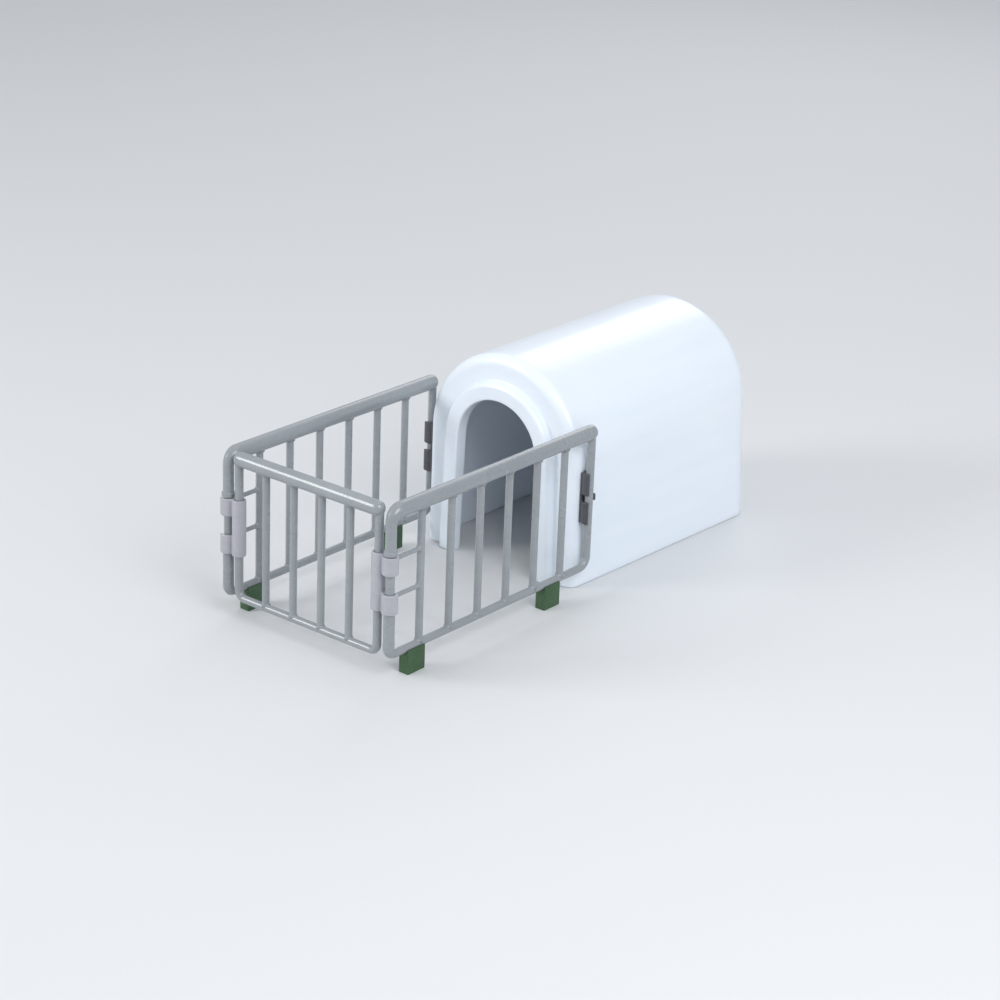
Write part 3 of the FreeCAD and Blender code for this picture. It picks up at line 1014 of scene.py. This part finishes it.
@dataclass(frozen=True)
class HutchShell:
    """The moulded vault with its rounded ends and the raised rim round its doorway."""

    wall: float = 1.2
    front_edge: float = 2.2
    rear_edge: float = 5.0
    front_half: float = 19.6
    rear_spread: float = 1.4
    rear_crown_tuck: float = 0.3
    door_half: float = 11.0
    door_radius: float = 10.2
    door_height: float = 36.1
    rim_width: float = 3.5
    rim_step: float = 2.0
    rim_edge: float = 0.8
    rim_root: float = 0.5
    door_edge: float = 0.4
    lip: float = 0.4
    lip_flatness: float = 0.6
    lip_steps: int = 8
    leg_steps: int = 30
    crown_steps: int = 97
    counts: ArchCounts = ArchCounts()
    swell: Swell = Swell()

    def _body_family(self, y: np.ndarray) -> ArchFamily:
        """The vault's outer arches at places along the hutch, widening evenly to the rear.

        Args:
            y: the places.

        Returns:
            The arches.
        """
        low, high = corners("hutch_shell")
        front = low[1] + self.rim_step
        share = (y - front) / (high[1] - front)
        return ArchFamily(self.front_half + share * self.rear_spread,
                          self.front_half - share * self.rear_crown_tuck,
                          np.full_like(y, high[2]))

    def _skin(self, inset: float) -> tuple[ArchFamily, np.ndarray]:
        """Rear wall, rear turn, body and front turn of the skin at a depth inside the outer one.

        The rear wall's arches grow evenly from its middle line. In a turn the depth is one less
        the sine and the advance is one less the cosine, times what is left of the edge radius.

        Args:
            inset: how far the skin lies inside the outer one.

        Returns:
            The arches and their places along the hutch.
        """
        low, high = corners("hutch_shell")
        front = low[1] + self.rim_step + inset
        rear = high[1] - inset
        rear_edge = self.rear_edge - inset
        front_edge = self.front_edge - inset
        grow = np.linspace(0.0, 1.0, self.counts.wall, endpoint=False)
        at_wall = self._body_family(np.full_like(grow, rear)).outset(-(inset + rear_edge))
        rise = at_wall.crown - at_wall.radius
        wall = ArchFamily(at_wall.half * grow, at_wall.radius * grow, rise + at_wall.radius * grow)
        turn = np.linspace(0.0, QUARTER_TURN, self.counts.rear_turn)
        rear_y = rear - rear_edge * (1.0 - np.cos(turn))
        rear_turn = self._body_family(rear_y).outset(-(inset + rear_edge * (1.0 - np.sin(turn))))
        turn = np.linspace(QUARTER_TURN, 0.0, self.counts.front_turn)
        front_y = front + front_edge * (1.0 - np.cos(turn))
        front_turn = self._body_family(front_y).outset(-(inset + front_edge * (1.0 - np.sin(turn))))
        body_y = np.linspace(rear_y[-1], front_y[0], self.counts.body + 2)[1:-1]
        body = self._body_family(body_y).outset(-inset)
        return (join_families([wall, rear_turn, body, front_turn]),
                np.concatenate([np.full_like(grow, rear), rear_y, body_y, front_y]))

    def _doorway(self, outer_end: ArchFamily, inner_end: ArchFamily,
                 ) -> tuple[tuple[ArchFamily, np.ndarray], tuple[ArchFamily, np.ndarray]]:
        """Front wall, rim and door edge of the outer skin, and the wall and edge of the inner one.

        A flat stretch goes evenly from one arch to the next. A rounded one takes its outset from
        one less the sine or cosine of an angle, and its place from the other.

        Args:
            outer_end: the outer skin's last arch.
            inner_end: the inner skin's last arch.

        Returns:
            The outer arches with their places, then the inner ones with theirs, equally many.
        """
        front = corners("hutch_shell")[0][1] + self.rim_step
        back = front + self.wall
        one = np.ones(1)
        door = ArchFamily(self.door_half * one, self.door_radius * one, self.door_height * one)
        rim = door.outset(self.rim_width)
        count = self.counts
        share = np.linspace(0.0, 1.0, count.face + 1)[1:]
        face = outer_end.blend(rim.outset(self.rim_root), share)
        root = np.linspace(0.0, QUARTER_TURN, count.rim_root + 1)[1:]
        rim_root = rim.outset(self.rim_root * (1.0 - np.sin(root)))
        root_y = front - self.rim_root * (1.0 - np.cos(root))
        turn = np.linspace(0.0, QUARTER_TURN, count.rim_turn)
        rim_turn = rim.outset(-self.rim_edge * (1.0 - np.cos(turn)))
        tip = front - self.rim_step
        rim_y = tip + self.rim_edge * (1.0 - np.sin(turn))
        share = np.linspace(0.0, 1.0, count.rim_face + 1)[1:]
        rim_face = rim.outset(-self.rim_edge).blend(door.outset(self.door_edge), share)
        turn = np.linspace(0.0, QUARTER_TURN, count.door_turn + 1)[1:]
        door_turn = door.outset(self.door_edge * (1.0 - np.sin(turn)))
        door_y = tip + self.door_edge * (1.0 - np.cos(turn))
        middle = (tip + back) / 2
        jamb_y = np.linspace(door_y[-1], middle, count.jamb + 1)[1:]
        jamb = door.outset(np.zeros_like(jamb_y))
        outer = join_families([face, rim_root, rim_turn, rim_face, door_turn, jamb])
        outer_y = np.concatenate([np.full(count.face, front), root_y, rim_y,
                                  np.full(count.rim_face, tip), door_y, jamb_y])
        flat = count.face + count.rim_root + count.rim_turn + count.rim_face
        share = np.linspace(0.0, 1.0, flat + 1)[1:]
        inner_face = inner_end.blend(door.outset(self.door_edge), share)
        inner_turn_y = back - self.door_edge * (1.0 - np.cos(turn))
        inner_jamb_y = np.linspace(inner_turn_y[-1], middle, count.jamb + 1)[1:]
        inner = join_families([inner_face, door_turn, jamb])
        inner_y = np.concatenate([np.full(flat, back), inner_turn_y, inner_jamb_y])
        return (outer, outer_y), (inner, inner_y)

    def _swollen(self, grid: np.ndarray) -> np.ndarray:
        """Draw the outer skin in by slow waves, as a thin moulding cools.

        The depth is the swell times a product of two squared waves, along and round the vault,
        and it goes inwards, towards the vault's middle line. It eases to nothing at the front
        wall, so the doorway keeps its shape.

        Args:
            grid: the outer skin's points.

        Returns:
            The moved points.
        """
        swell = self.swell
        front = corners("hutch_shell")[0][1] + self.rim_step
        away = grid - np.array([0.0, 0.0, swell.middle_height])
        away[..., 1] = 0.0
        length = np.maximum(np.linalg.norm(away, axis=-1, keepdims=True), LEAST_RADIUS)
        around = np.arctan2(away[..., 2], away[..., 0])
        wave = np.square(np.sin(grid[..., 1] / swell.wave_length + swell.wave_start)
                         * np.cos(swell.waves_round * around + swell.round_start))
        depth = swell.depth * wave * ease((grid[..., 1] - front) / self.front_edge)
        return grid - away / length * depth[..., None]

    def build(self, palette: Palette) -> None:
        """Make the shell as one closed band of outer skin, lip, inner skin and lip.

        Args:
            palette: the materials.
        """
        skins = [self._skin(depth) for depth in (0.0, self.wall)]
        doorways = self._doorway(last_of(skins[0][0]), last_of(skins[1][0]))
        families = [join_families([skin[0], door[0]]) for skin, door in zip(skins, doorways)]
        places = [np.concatenate([skin[1], door[1]]) for skin, door in zip(skins, doorways)]
        apart = np.hypot(families[0].half - families[1].half, places[0] - places[1])
        foot = np.minimum(self.lip, apart / 2)
        grids = [family.points(y, foot, self.leg_steps, self.crown_steps)
                 for family, y in zip(families, places)]
        grids[0] = self._swollen(grids[0])
        right_lip = self._lip(grids[0][:, 0], grids[1][:, 0], foot)
        left_lip = self._lip(grids[1][:, -1], grids[0][:, -1], foot)
        band = np.concatenate([grids[0][:, ::-1], right_lip, grids[1], left_lip], axis=1)
        shell = Skin()
        shell.add_tube(band)
        hand_over(shell.to_object("hutch_moulding"), "hutch", "hutch_shell", Finish.SHELL, palette)

    def _lip(self, start: np.ndarray, end: np.ndarray, foot: np.ndarray) -> np.ndarray:
        """Rounded bottom edge between the two skins' feet.

        A point lies between the feet by the cosine of its angle, and under them by the foot
        height times a flattened sine.

        Args:
            start: feet of the first skin.
            end: feet of the second skin.
            foot: height of the feet.

        Returns:
            The edge's points without the feet themselves, shape (arches, points, 3).
        """
        angle = np.linspace(0.0, HALF_TURN, self.lip_steps + 2)[1:-1]
        middle = (start + end)[:, None, :] / 2
        half = (start - end)[:, None, :] / 2
        points = middle + np.cos(angle)[:, None] * half
        points[..., 2] = foot[:, None] * (1.0 - np.power(np.sin(angle), self.lip_flatness))
        return points


def join_families(families: Sequence[ArchFamily]) -> ArchFamily:
    """One family from several, in order."""
    return ArchFamily(np.concatenate([family.half for family in families]),
                      np.concatenate([family.radius for family in families]),
                      np.concatenate([family.crown for family in families]))


def last_of(family: ArchFamily) -> ArchFamily:
    """A family of only the last arch."""
    return ArchFamily(family.half[-1:], family.radius[-1:], family.crown[-1:])


# ---------------------------------------------------------------- the pen


@dataclass(frozen=True)
class RailSizes:
    """Sizes that the side panels and the gate share."""

    top_height: float = 34.1
    bottom_height: float = 5.1
    bottom_radius: float = 0.8
    bar_radius: float = 0.75
    end_overhang: float = 0.1
    cap: float = 0.02
    fillet: float = 0.28
    side_share: float = 0.85

    def add_bars(self, skin: Skin, top_radius: float, places: Iterable[tuple[float, float]],
                 plane: np.ndarray) -> None:
        """Add upright bars from the bottom rail's axis to the top rail's.

        Args:
            skin: the panel's surface.
            top_radius: the top rail's radius.
            places: each bar's place across and along the pen.
            plane: unit vector across the panel.
        """
        bar = Bar(self.bar_radius, self.fillet, (self.bottom_radius, top_radius * self.side_share))
        for x, y in places:
            skin.add_tube(bar.surface(spot(x, y, self.bottom_height), spot(x, y, self.top_height),
                                      (self.bottom_radius, top_radius), plane))


def side_name(side: int) -> str:
    """The word for a side: 1 is right and -1 is left."""
    return "right" if side > 0 else "left"


def steady(radius: float) -> Callable[[np.ndarray], np.ndarray]:
    """A radius that stays the same along a stretch."""
    return lambda along: np.full((len(along), 2), radius)


@dataclass
class SidePanel:
    """A side fence: its top rail bends down into the front post, and six bars stand between."""

    layout: Layout
    side: int
    rails: RailSizes = RailSizes()
    top_radius: float = 1.55
    front_radius: float = 1.1
    neck_radius: float = 0.9
    ring_radius: float = 1.35
    ring_height: float = 0.9
    rear_radius: float = 0.85
    top_bend: float = 2.3
    front_bend: float = 1.6
    rear_bend: float = 2.2
    rung_radius: float = 0.45
    rung_fillet: float = 0.3
    rung_share: float = 0.8
    rung_drop: float = 0.9
    lower_collar: float = 4.0
    collar_drop: float = 0.2
    clearance: float = 0.1
    shoulder: float = 0.16
    ring_softness: float = 1.6
    bays: int = 7
    rail_rings: int = 60
    top_turn_rings: int = 22
    post_rings: int = 40
    shoulder_reach: float = 0.3
    shoulder_rings: int = 17
    rear_turn_rings: int = 18
    rear_rings: int = 30

    def _post_radius(self, height: np.ndarray) -> np.ndarray:
        """Radius up the front post: thinner at the clip's neck and thicker at the ring above it.

        Args:
            height: heights on the post.

        Returns:
            The radii in the panel's plane and across it.
        """
        neck_low = self.layout.clip_low - self.clearance
        neck_high = self.layout.clip_high - self.collar_drop + self.clearance
        neck = plateau(height, neck_low, neck_high, self.shoulder)
        ring = plateau(height, neck_high, neck_high + self.ring_height,
                       self.shoulder * self.ring_softness)
        radius = (self.front_radius + neck * (self.neck_radius - self.front_radius)
                  + ring * (self.ring_radius - self.front_radius))
        return np.stack([radius, radius], axis=1)

    def _frame(self) -> np.ndarray:
        """The one rod that is top rail, front post, bottom rail and rear post.

        Returns:
            The grid of rings.
        """
        x = self.side * self.layout.side_x
        front, rear = self.layout.front_y, self.layout.rear_post_y
        top, bottom = self.rails.top_height, self.rails.bottom_height
        path = RodPath(X_AXIS)
        end = spot(x, rear + self.rear_radius + self.rails.end_overhang - self.top_radius, top)
        path.dome(end, Y_AXIS, self.top_radius, opening=True)
        bend_y = front + self.top_bend
        path.line(end, spot(x, bend_y, top), steady(self.top_radius),
                  np.linspace(0.0, end[1] - bend_y, self.rail_rings))
        path.turn(spot(x, bend_y, top - self.top_bend), Z_AXIS * self.top_bend,
                  -Y_AXIS * self.top_bend, self.top_radius, self.front_radius, self.top_turn_rings)
        high, low = top - self.top_bend, bottom + self.front_bend
        clip_top = self.layout.clip_high - self.collar_drop + self.clearance
        spots = [high - clip_top, high - clip_top - self.ring_height,
                 high - self.layout.clip_low + self.clearance]
        path.line(spot(x, front, high), spot(x, front, low),
                  lambda along: self._post_radius(high - along),
                  spread(0.0, high - low, self.post_rings, spots, self.shoulder_reach,
                         self.shoulder_rings))
        path.turn(spot(x, front + self.front_bend, low), -Y_AXIS * self.front_bend,
                  -Z_AXIS * self.front_bend, self.front_radius, self.rails.bottom_radius)
        path.line(spot(x, front + self.front_bend, bottom), spot(x, rear - self.rear_bend, bottom),
                  steady(self.rails.bottom_radius),
                  np.linspace(0.0, rear - front - self.front_bend - self.rear_bend, self.rail_rings))
        path.turn(spot(x, rear - self.rear_bend, bottom + self.rear_bend),
                  -Z_AXIS * self.rear_bend, Y_AXIS * self.rear_bend,
                  self.rails.bottom_radius, self.rear_radius, self.rear_turn_rings)
        start = bottom + self.rear_bend
        tip = spot(x, rear, top)
        path.line(spot(x, rear, start), tip, steady(self.rear_radius),
                  np.linspace(0.0, top - start, self.rear_rings))
        path.point(tip + Z_AXIS * self.rails.cap)
        return path.surface()

    def build(self, palette: Palette) -> None:
        """Make the panel as one piece.

        Args:
            palette: the materials.
        """
        x = self.side * self.layout.side_x
        front, rear = self.layout.front_y, self.layout.rear_post_y
        skin = Skin()
        skin.add_tube(self._frame())
        spacing = (rear - front) / self.bays
        places = ((x, front + bay * spacing) for bay in range(1, self.bays))
        self.rails.add_bars(skin, self.top_radius, places, X_AXIS)
        rung = Bar(self.rung_radius, self.rung_fillet,
                   (self.neck_radius * self.rung_share, self.rails.bar_radius * self.rung_share))
        tops = (self.layout.clip_low + self.lower_collar, self.layout.clip_high - self.collar_drop)
        for collar_top in tops:
            height = collar_top - self.rung_drop
            skin.add_tube(rung.surface(spot(x, front, height), spot(x, front + spacing, height),
                                       (self.neck_radius, self.rails.bar_radius), X_AXIS))
        name = side_name(self.side)
        hand_over(skin.to_object(name + "_fence_moulding"), name + "_panel", name + "_side_panel",
                  Finish.RAIL, palette)


@dataclass
class GatePanel:
    """The front fence: a round-ended top rail over one bent rod and four bars."""

    layout: Layout
    rails: RailSizes = RailSizes()
    top_radius: float = 1.5
    post_radius: float = 0.85
    bend: float = 1.6
    bays: int = 5
    rail_rings: int = 50
    post_rings: int = 34
    bottom_rings: int = 40

    def _top_rail(self) -> np.ndarray:
        """Top rail with a round end over each end post.

        Returns:
            The grid of rings.
        """
        reach = self.layout.gate_post_x + self.post_radius + self.rails.end_overhang - self.top_radius
        y, top = self.layout.front_y, self.rails.top_height
        path = RodPath(Y_AXIS)
        left, right = spot(-reach, y, top), spot(reach, y, top)
        path.dome(left, -X_AXIS, self.top_radius, opening=True)
        path.line(left, right, steady(self.top_radius), np.linspace(0.0, 2 * reach, self.rail_rings))
        path.dome(right, X_AXIS, self.top_radius, opening=False)
        return path.surface()

    def _hoop(self) -> np.ndarray:
        """The bent rod that is both end posts and the bottom rail.

        Returns:
            The grid of rings.
        """
        reach = self.layout.gate_post_x
        y, top, bottom = self.layout.front_y, self.rails.top_height, self.rails.bottom_height
        low = bottom + self.bend
        path = RodPath(Y_AXIS)
        stations = np.linspace(0.0, top - low, self.post_rings)
        path.point(spot(-reach, y, top + self.rails.cap))
        path.line(spot(-reach, y, top), spot(-reach, y, low), steady(self.post_radius), stations)
        path.turn(spot(self.bend - reach, y, low), -X_AXIS * self.bend, -Z_AXIS * self.bend,
                  self.post_radius, self.rails.bottom_radius)
        path.line(spot(self.bend - reach, y, bottom), spot(reach - self.bend, y, bottom),
                  steady(self.rails.bottom_radius),
                  np.linspace(0.0, 2 * (reach - self.bend), self.bottom_rings))
        path.turn(spot(reach - self.bend, y, low), -Z_AXIS * self.bend, X_AXIS * self.bend,
                  self.rails.bottom_radius, self.post_radius)
        path.line(spot(reach, y, low), spot(reach, y, top), steady(self.post_radius), stations)
        path.point(spot(reach, y, top + self.rails.cap))
        return path.surface()

    def build(self, palette: Palette) -> None:
        """Make the gate as one piece.

        Args:
            palette: the materials.
        """
        skin = Skin()
        skin.add_tube(self._top_rail())
        skin.add_tube(self._hoop())
        reach, y = self.layout.gate_post_x, self.layout.front_y
        places = ((bay * 2 * reach / self.bays - reach, y) for bay in range(1, self.bays))
        self.rails.add_bars(skin, self.top_radius, places, Y_AXIS)
        hand_over(skin.to_object("gate_moulding"), "gate", "gate_panel", Finish.RAIL, palette)


class ClipKind(Enum):
    """What a corner clip does: the hinge stays on the side post, and the latch leaves it."""

    HINGE = "right_hinge_clip"
    LATCH = "left_latch_clip"


@dataclass
class CornerClip:
    """Barrel for the gate's post, with two collars for the side panel's neck."""

    layout: Layout
    kind: ClipKind
    barrel_radius: float = 1.4
    barrel_bore: float = 0.9
    collar_radius: float = 1.6
    collar_bore: float = 0.93
    throat: float = 0.95
    collar_drop: float = 0.2
    upper_height: float = 3.7
    lower_height: float = 4.0
    web_half: float = 0.7
    mouth_half: float = 0.68
    web_in_barrel: float = 0.08
    web_in_collar: float = 0.1
    web_inset: float = 0.02
    edge: float = 0.22
    grain: float = 0.075
    smoothing: int = 6
    grip: float = 0.12
    least_slope: float = 0.4
    least_wall: float = 0.05

    def _hinge_inner(self, angles: np.ndarray) -> np.ndarray:
        """Inner radius of the hinge's collars: the round bore."""
        return np.full_like(angles, self.collar_bore)

    def _latch_inner(self, angles: np.ndarray) -> np.ndarray:
        """Inner radius of the latch's hooks: the bore at the front inner quarter, flat beyond it.

        Past the front the inner face is the plane a throat before the axis, and past the inner
        side it is the plane a throat inboard, so the post can leave either way.

        Args:
            angles: angles round the post.

        Returns:
            The inner radius at each angle.
        """
        turned = np.mod(angles, FULL_TURN)
        past_front = turned < 1.5 * HALF_TURN
        past_side = turned < QUARTER_TURN
        front = self.throat / np.maximum(np.abs(np.sin(turned)), self.least_slope)
        side = self.throat / np.maximum(np.abs(np.cos(turned)), self.least_slope)
        inner = np.where(past_side, side, np.where(past_front, front, self.throat))
        return np.minimum(inner, self.collar_radius - self.least_wall)

    def build(self, palette: Palette) -> None:
        """Make the clip: overlapping rings and webs, fused into one moulding.

        Args:
            palette: the materials.
        """
        hinge = self.kind is ClipKind.HINGE
        side = 1.0 if hinge else -1.0
        y = self.layout.front_y
        barrel_x, collar_x = side * self.layout.gate_post_x, side * self.layout.side_x
        low, high = self.layout.clip_low, self.layout.clip_high
        skin = Skin()
        barrel = Collar((barrel_x, y), self.barrel_radius, low, high, self.edge)
        skin.add_tube(barrel.full_ring(self.barrel_bore), closed=True)
        upper = high - self.collar_drop
        for span_low, span_high in ((low, low + self.lower_height), (upper - self.upper_height, upper)):
            collar = Collar((collar_x, y), self.collar_radius, span_low, span_high, self.edge)
            if hinge:
                half_mouth = math.asin(self.mouth_half / self.collar_radius)
                start, end = QUARTER_TURN + half_mouth, QUARTER_TURN + FULL_TURN - half_mouth
                skin.add_tube(collar.surface(start, end, self._hinge_inner))
            else:
                open_end = math.asin(self.throat / (self.collar_radius - self.grip))
                start, end = HALF_TURN + open_end, QUARTER_TURN + FULL_TURN - open_end
                skin.add_tube(collar.surface(start, end, self._latch_inner))
            ends = sorted([barrel_x + side * (self.barrel_bore + self.web_in_barrel),
                           collar_x - side * (self.collar_bore + self.web_in_collar)])
            skin.add_tube(rounded_block(spot(ends[0], y - self.web_half, span_low + self.web_inset),
                                        spot(ends[1], y + self.web_half, span_high - self.web_inset),
                                        self.edge))
        piece = skin.to_object(self.kind.value.replace("clip", "moulding"))
        fuse(piece, self.grain, self.smoothing)
        body = "right_panel" if hinge else "gate"
        hand_over(piece, body, self.kind.value, Finish.CLIP, palette)


@dataclass
class WallClip:
    """Clip on the hutch's side wall whose fingers hold a rear post, coloured near black as painted shade
    and painted dark reflection.
    """

    layout: Layout
    side: int
    outer: float = 1.5
    bore: float = 0.92
    front_wrap: float = math.radians(128.0)
    rear_wrap: float = math.radians(118.0)
    rear_finger: float = 1.5
    pad_half: float = 1.25
    pad_reach: float = 1.42
    pad_overlap: float = 0.08
    edge: float = 0.2
    grain: float = 0.07
    smoothing: int = 5

    def _inner(self, angles: np.ndarray) -> np.ndarray:
        """Inner radius of the fingers: the round bore."""
        return np.full_like(angles, self.bore)

    def build(self, palette: Palette) -> None:
        """Make the clip: a pad on the wall, two fingers before the post and one behind it.

        Args:
            palette: the materials.
        """
        name = side_name(self.side)
        node = name + "_wall_clip"
        low, high = corners(node)
        x, y = self.side * self.layout.side_x, self.layout.rear_post_y
        wall_side = HALF_TURN if self.side > 0 else 0.0
        middle = (low[2] + high[2]) / 2
        skin = Skin()
        spans = [
            (low[2], middle - self.rear_finger / 2, self.front_wrap),
            (middle + self.rear_finger / 2, high[2], self.front_wrap),
            (middle - self.rear_finger / 2, middle + self.rear_finger / 2, -self.rear_wrap),
        ]
        for span_low, span_high, wrap in spans:
            finger = Collar((x, y), self.outer, span_low, span_high, self.edge)
            skin.add_tube(finger.surface(wall_side, wall_side + self.side * wrap, self._inner))
        ends = sorted([x - self.side * self.pad_reach, x - self.side * (self.bore + self.pad_overlap)])
        skin.add_tube(rounded_block(spot(ends[0], y - self.pad_half, low[2]),
                                    spot(ends[1], y + self.pad_half, high[2]), self.edge))
        piece = skin.to_object(name + "_post_clip")
        fuse(piece, self.grain, self.smoothing)
        hand_over(piece, "hutch", node, Finish.WALL_CLIP, palette)


@dataclass
class Foot:
    """Dark block that is pushed up on a side panel's bottom rail; its dark green is partly its own plastic
    and partly painted shade and a painted green reflection.
    """

    side: str
    place: str
    rail_radius: float = 0.82
    rail_height: float = 5.1
    channel_points: int = 17
    bevel: float = 0.14            # less than one step of the channel
    bevel_segments: int = 4
    bevel_angle: float = math.radians(40.0)

    def build(self, palette: Palette) -> None:
        """Make the block: its outline with the rail's channel, carried along the rail.

        The outline goes up both sides and down through a half circle for the rail.

        Args:
            palette: the materials.
        """
        node = self.side + "_" + self.place + "_foot"
        low, high = corners(node)
        middle = (low[0] + high[0]) / 2
        drop = self.rail_height - high[2]
        start = math.asin(drop / self.rail_radius)
        angle = np.linspace(-start, start - HALF_TURN, self.channel_points)
        channel = np.stack([middle + self.rail_radius * np.cos(angle),
                            self.rail_height + self.rail_radius * np.sin(angle)], axis=1)
        outline = np.vstack([[[low[0], low[2]], [high[0], low[2]], [high[0], high[2]]],
                             channel, [[low[0], high[2]]]])
        count = len(outline)
        y = np.array([low[1], high[1]])
        points = np.stack([np.tile(outline[:, 0], 2), np.repeat(y, count), np.tile(outline[:, 1], 2)],
                          axis=1)
        first = np.arange(count)
        after = np.roll(first, -1)
        sides = np.stack([first, after, after + count, first + count], axis=1).tolist()
        mesh = bpy.data.meshes.new(node)
        ends = [first[::-1].tolist(), (first + count).tolist()]
        mesh.from_pydata((points * MM).tolist(), [], sides + ends)
        weld(mesh)
        piece = link_object(self.side + "_" + self.place + "_rail_foot", mesh)
        bevel = piece.modifiers.new("soft_edges", "BEVEL")
        bevel.width = self.bevel * MM
        bevel.segments = self.bevel_segments
        bevel.limit_method = "ANGLE"
        bevel.angle_limit = self.bevel_angle
        apply_modifiers(piece)
        hand_over(piece, self.side + "_panel", node, Finish.FOOT, palette)


# ---------------------------------------------------------------- the studio


@dataclass(frozen=True)
class Lamp:
    """One soft studio light."""

    name: str
    place: tuple[float, float, float]
    aim: tuple[float, float, float]
    size: float
    power: float
    colour: tuple[float, float, float] = (1.0, 1.0, 1.0)

    def build(self) -> None:
        """Hang the light and turn it to its aim."""
        data = bpy.data.lights.new(self.name, "AREA")
        data.shape = "DISK"
        data.size = self.size
        data.energy = self.power
        data.color = self.colour
        lamp = link_object(self.name, data)
        lamp.location = self.place
        lamp.rotation_euler = (Vector(self.aim) - Vector(self.place)).to_track_quat("-Z", "Y").to_euler()


@dataclass
class Studio:
    """Pale floor, soft lights and the camera."""

    layout: Layout
    azimuth: float = math.radians(38.81)
    elevation: float = math.radians(21.9)
    roll: float = math.radians(2.2)
    distance: float = 535.3
    pan: tuple[float, float] = (37.26, 28.46)
    lens: float = 100.15
    sensor: float = 36.0
    sight: tuple[float, float] = (0.01, 20.0)
    floor_reach: float = 4.0
    floor_colour: tuple[float, float, float] = (0.68, 0.69, 0.7)
    floor_rough: float = 0.6
    sky_colour: tuple[float, float, float] = (0.9, 0.94, 1.0)
    sky_strength: float = 0.62
    aim: tuple[float, float, float] = (0.0, 0.0, 0.02)

    def _camera(self) -> None:
        """Place the camera by its turn, height and roll about the pen's front."""
        data = bpy.data.cameras.new("camera")
        data.lens = self.lens
        data.sensor_width = self.sensor
        data.clip_start, data.clip_end = self.sight
        camera = link_object("camera", data)
        sin_a, cos_a = math.sin(self.azimuth), math.cos(self.azimuth)
        back = Vector((sin_a * math.cos(self.elevation), -cos_a * math.cos(self.elevation),
                       math.sin(self.elevation)))
        right = Vector((cos_a, sin_a, 0.0))
        up = back.cross(right)
        rolled_right = right * math.cos(self.roll) + up * math.sin(self.roll)
        rolled_up = up * math.cos(self.roll) - right * math.sin(self.roll)
        pen_front = Vector((0.0, self.layout.front_y, 0.0))
        place = pen_front + rolled_right * self.pan[0] + rolled_up * self.pan[1] + back * self.distance
        turn = Matrix((rolled_right, rolled_up, back)).transposed()
        camera.matrix_world = Matrix.Translation(place * MM) @ turn.to_4x4()
        bpy.context.scene.camera = camera

    def _floor(self) -> None:
        """Lay a plain pale floor under the object."""
        reach = self.floor_reach
        mesh = bpy.data.meshes.new("studio_floor")
        mesh.from_pydata([(-reach, -reach, 0.0), (reach, -reach, 0.0), (reach, reach, 0.0),
                          (-reach, reach, 0.0)], [], [(0, 1, 2, 3)])
        floor = link_object("studio_floor", mesh)
        material = bpy.data.materials.new("studio_floor")
        material.use_nodes = True
        shader = material.node_tree.nodes["Principled BSDF"]
        shader.inputs["Base Color"].default_value = (*self.floor_colour, 1.0)
        shader.inputs["Roughness"].default_value = self.floor_rough
        mesh.materials.append(material)

    def build(self) -> None:
        """Set up the floor, the sky, the lights and the camera."""
        self._floor()
        world = bpy.data.worlds.new("studio_sky")
        world.use_nodes = True
        sky = world.node_tree.nodes["Background"]
        sky.inputs["Color"].default_value = (*self.sky_colour, 1.0)
        sky.inputs["Strength"].default_value = self.sky_strength
        bpy.context.scene.world = world
        bpy.context.scene.view_settings.view_transform = "Standard"
        lamps = [
            Lamp("key_light", (0.38, -0.16, 0.36), self.aim, 0.34, 1.4, (0.98, 0.985, 1.0)),
            Lamp("fill_light", (-0.36, -0.46, 0.3), self.aim, 0.26, 1.75, (1.0, 0.995, 0.98)),
            Lamp("top_light", (0.0, 0.1, 0.6), self.aim, 0.4, 0.25),
            Lamp("rim_light", (-0.2, 0.5, 0.35), self.aim, 0.3, 0.4),
        ]
        for lamp in lamps:
            lamp.build()
        self._camera()


def main() -> None:
    """Build the hutch, the pen and the studio, in that order."""
    logging.basicConfig(level=logging.INFO, format="%(name)s: %(message)s")
    layout = Layout.from_frame()
    palette = Palette()
    HutchShell().build(palette)
    for side in (1, -1):
        SidePanel(layout, side).build(palette)
        WallClip(layout, side).build(palette)
    GatePanel(layout).build(palette)
    for kind in ClipKind:
        CornerClip(layout, kind).build(palette)
    for side in ("right", "left"):
        for place in ("front", "rear"):
            Foot(side, place).build(palette)
    Studio(layout).build()


if __name__ == "__main__":
    main()
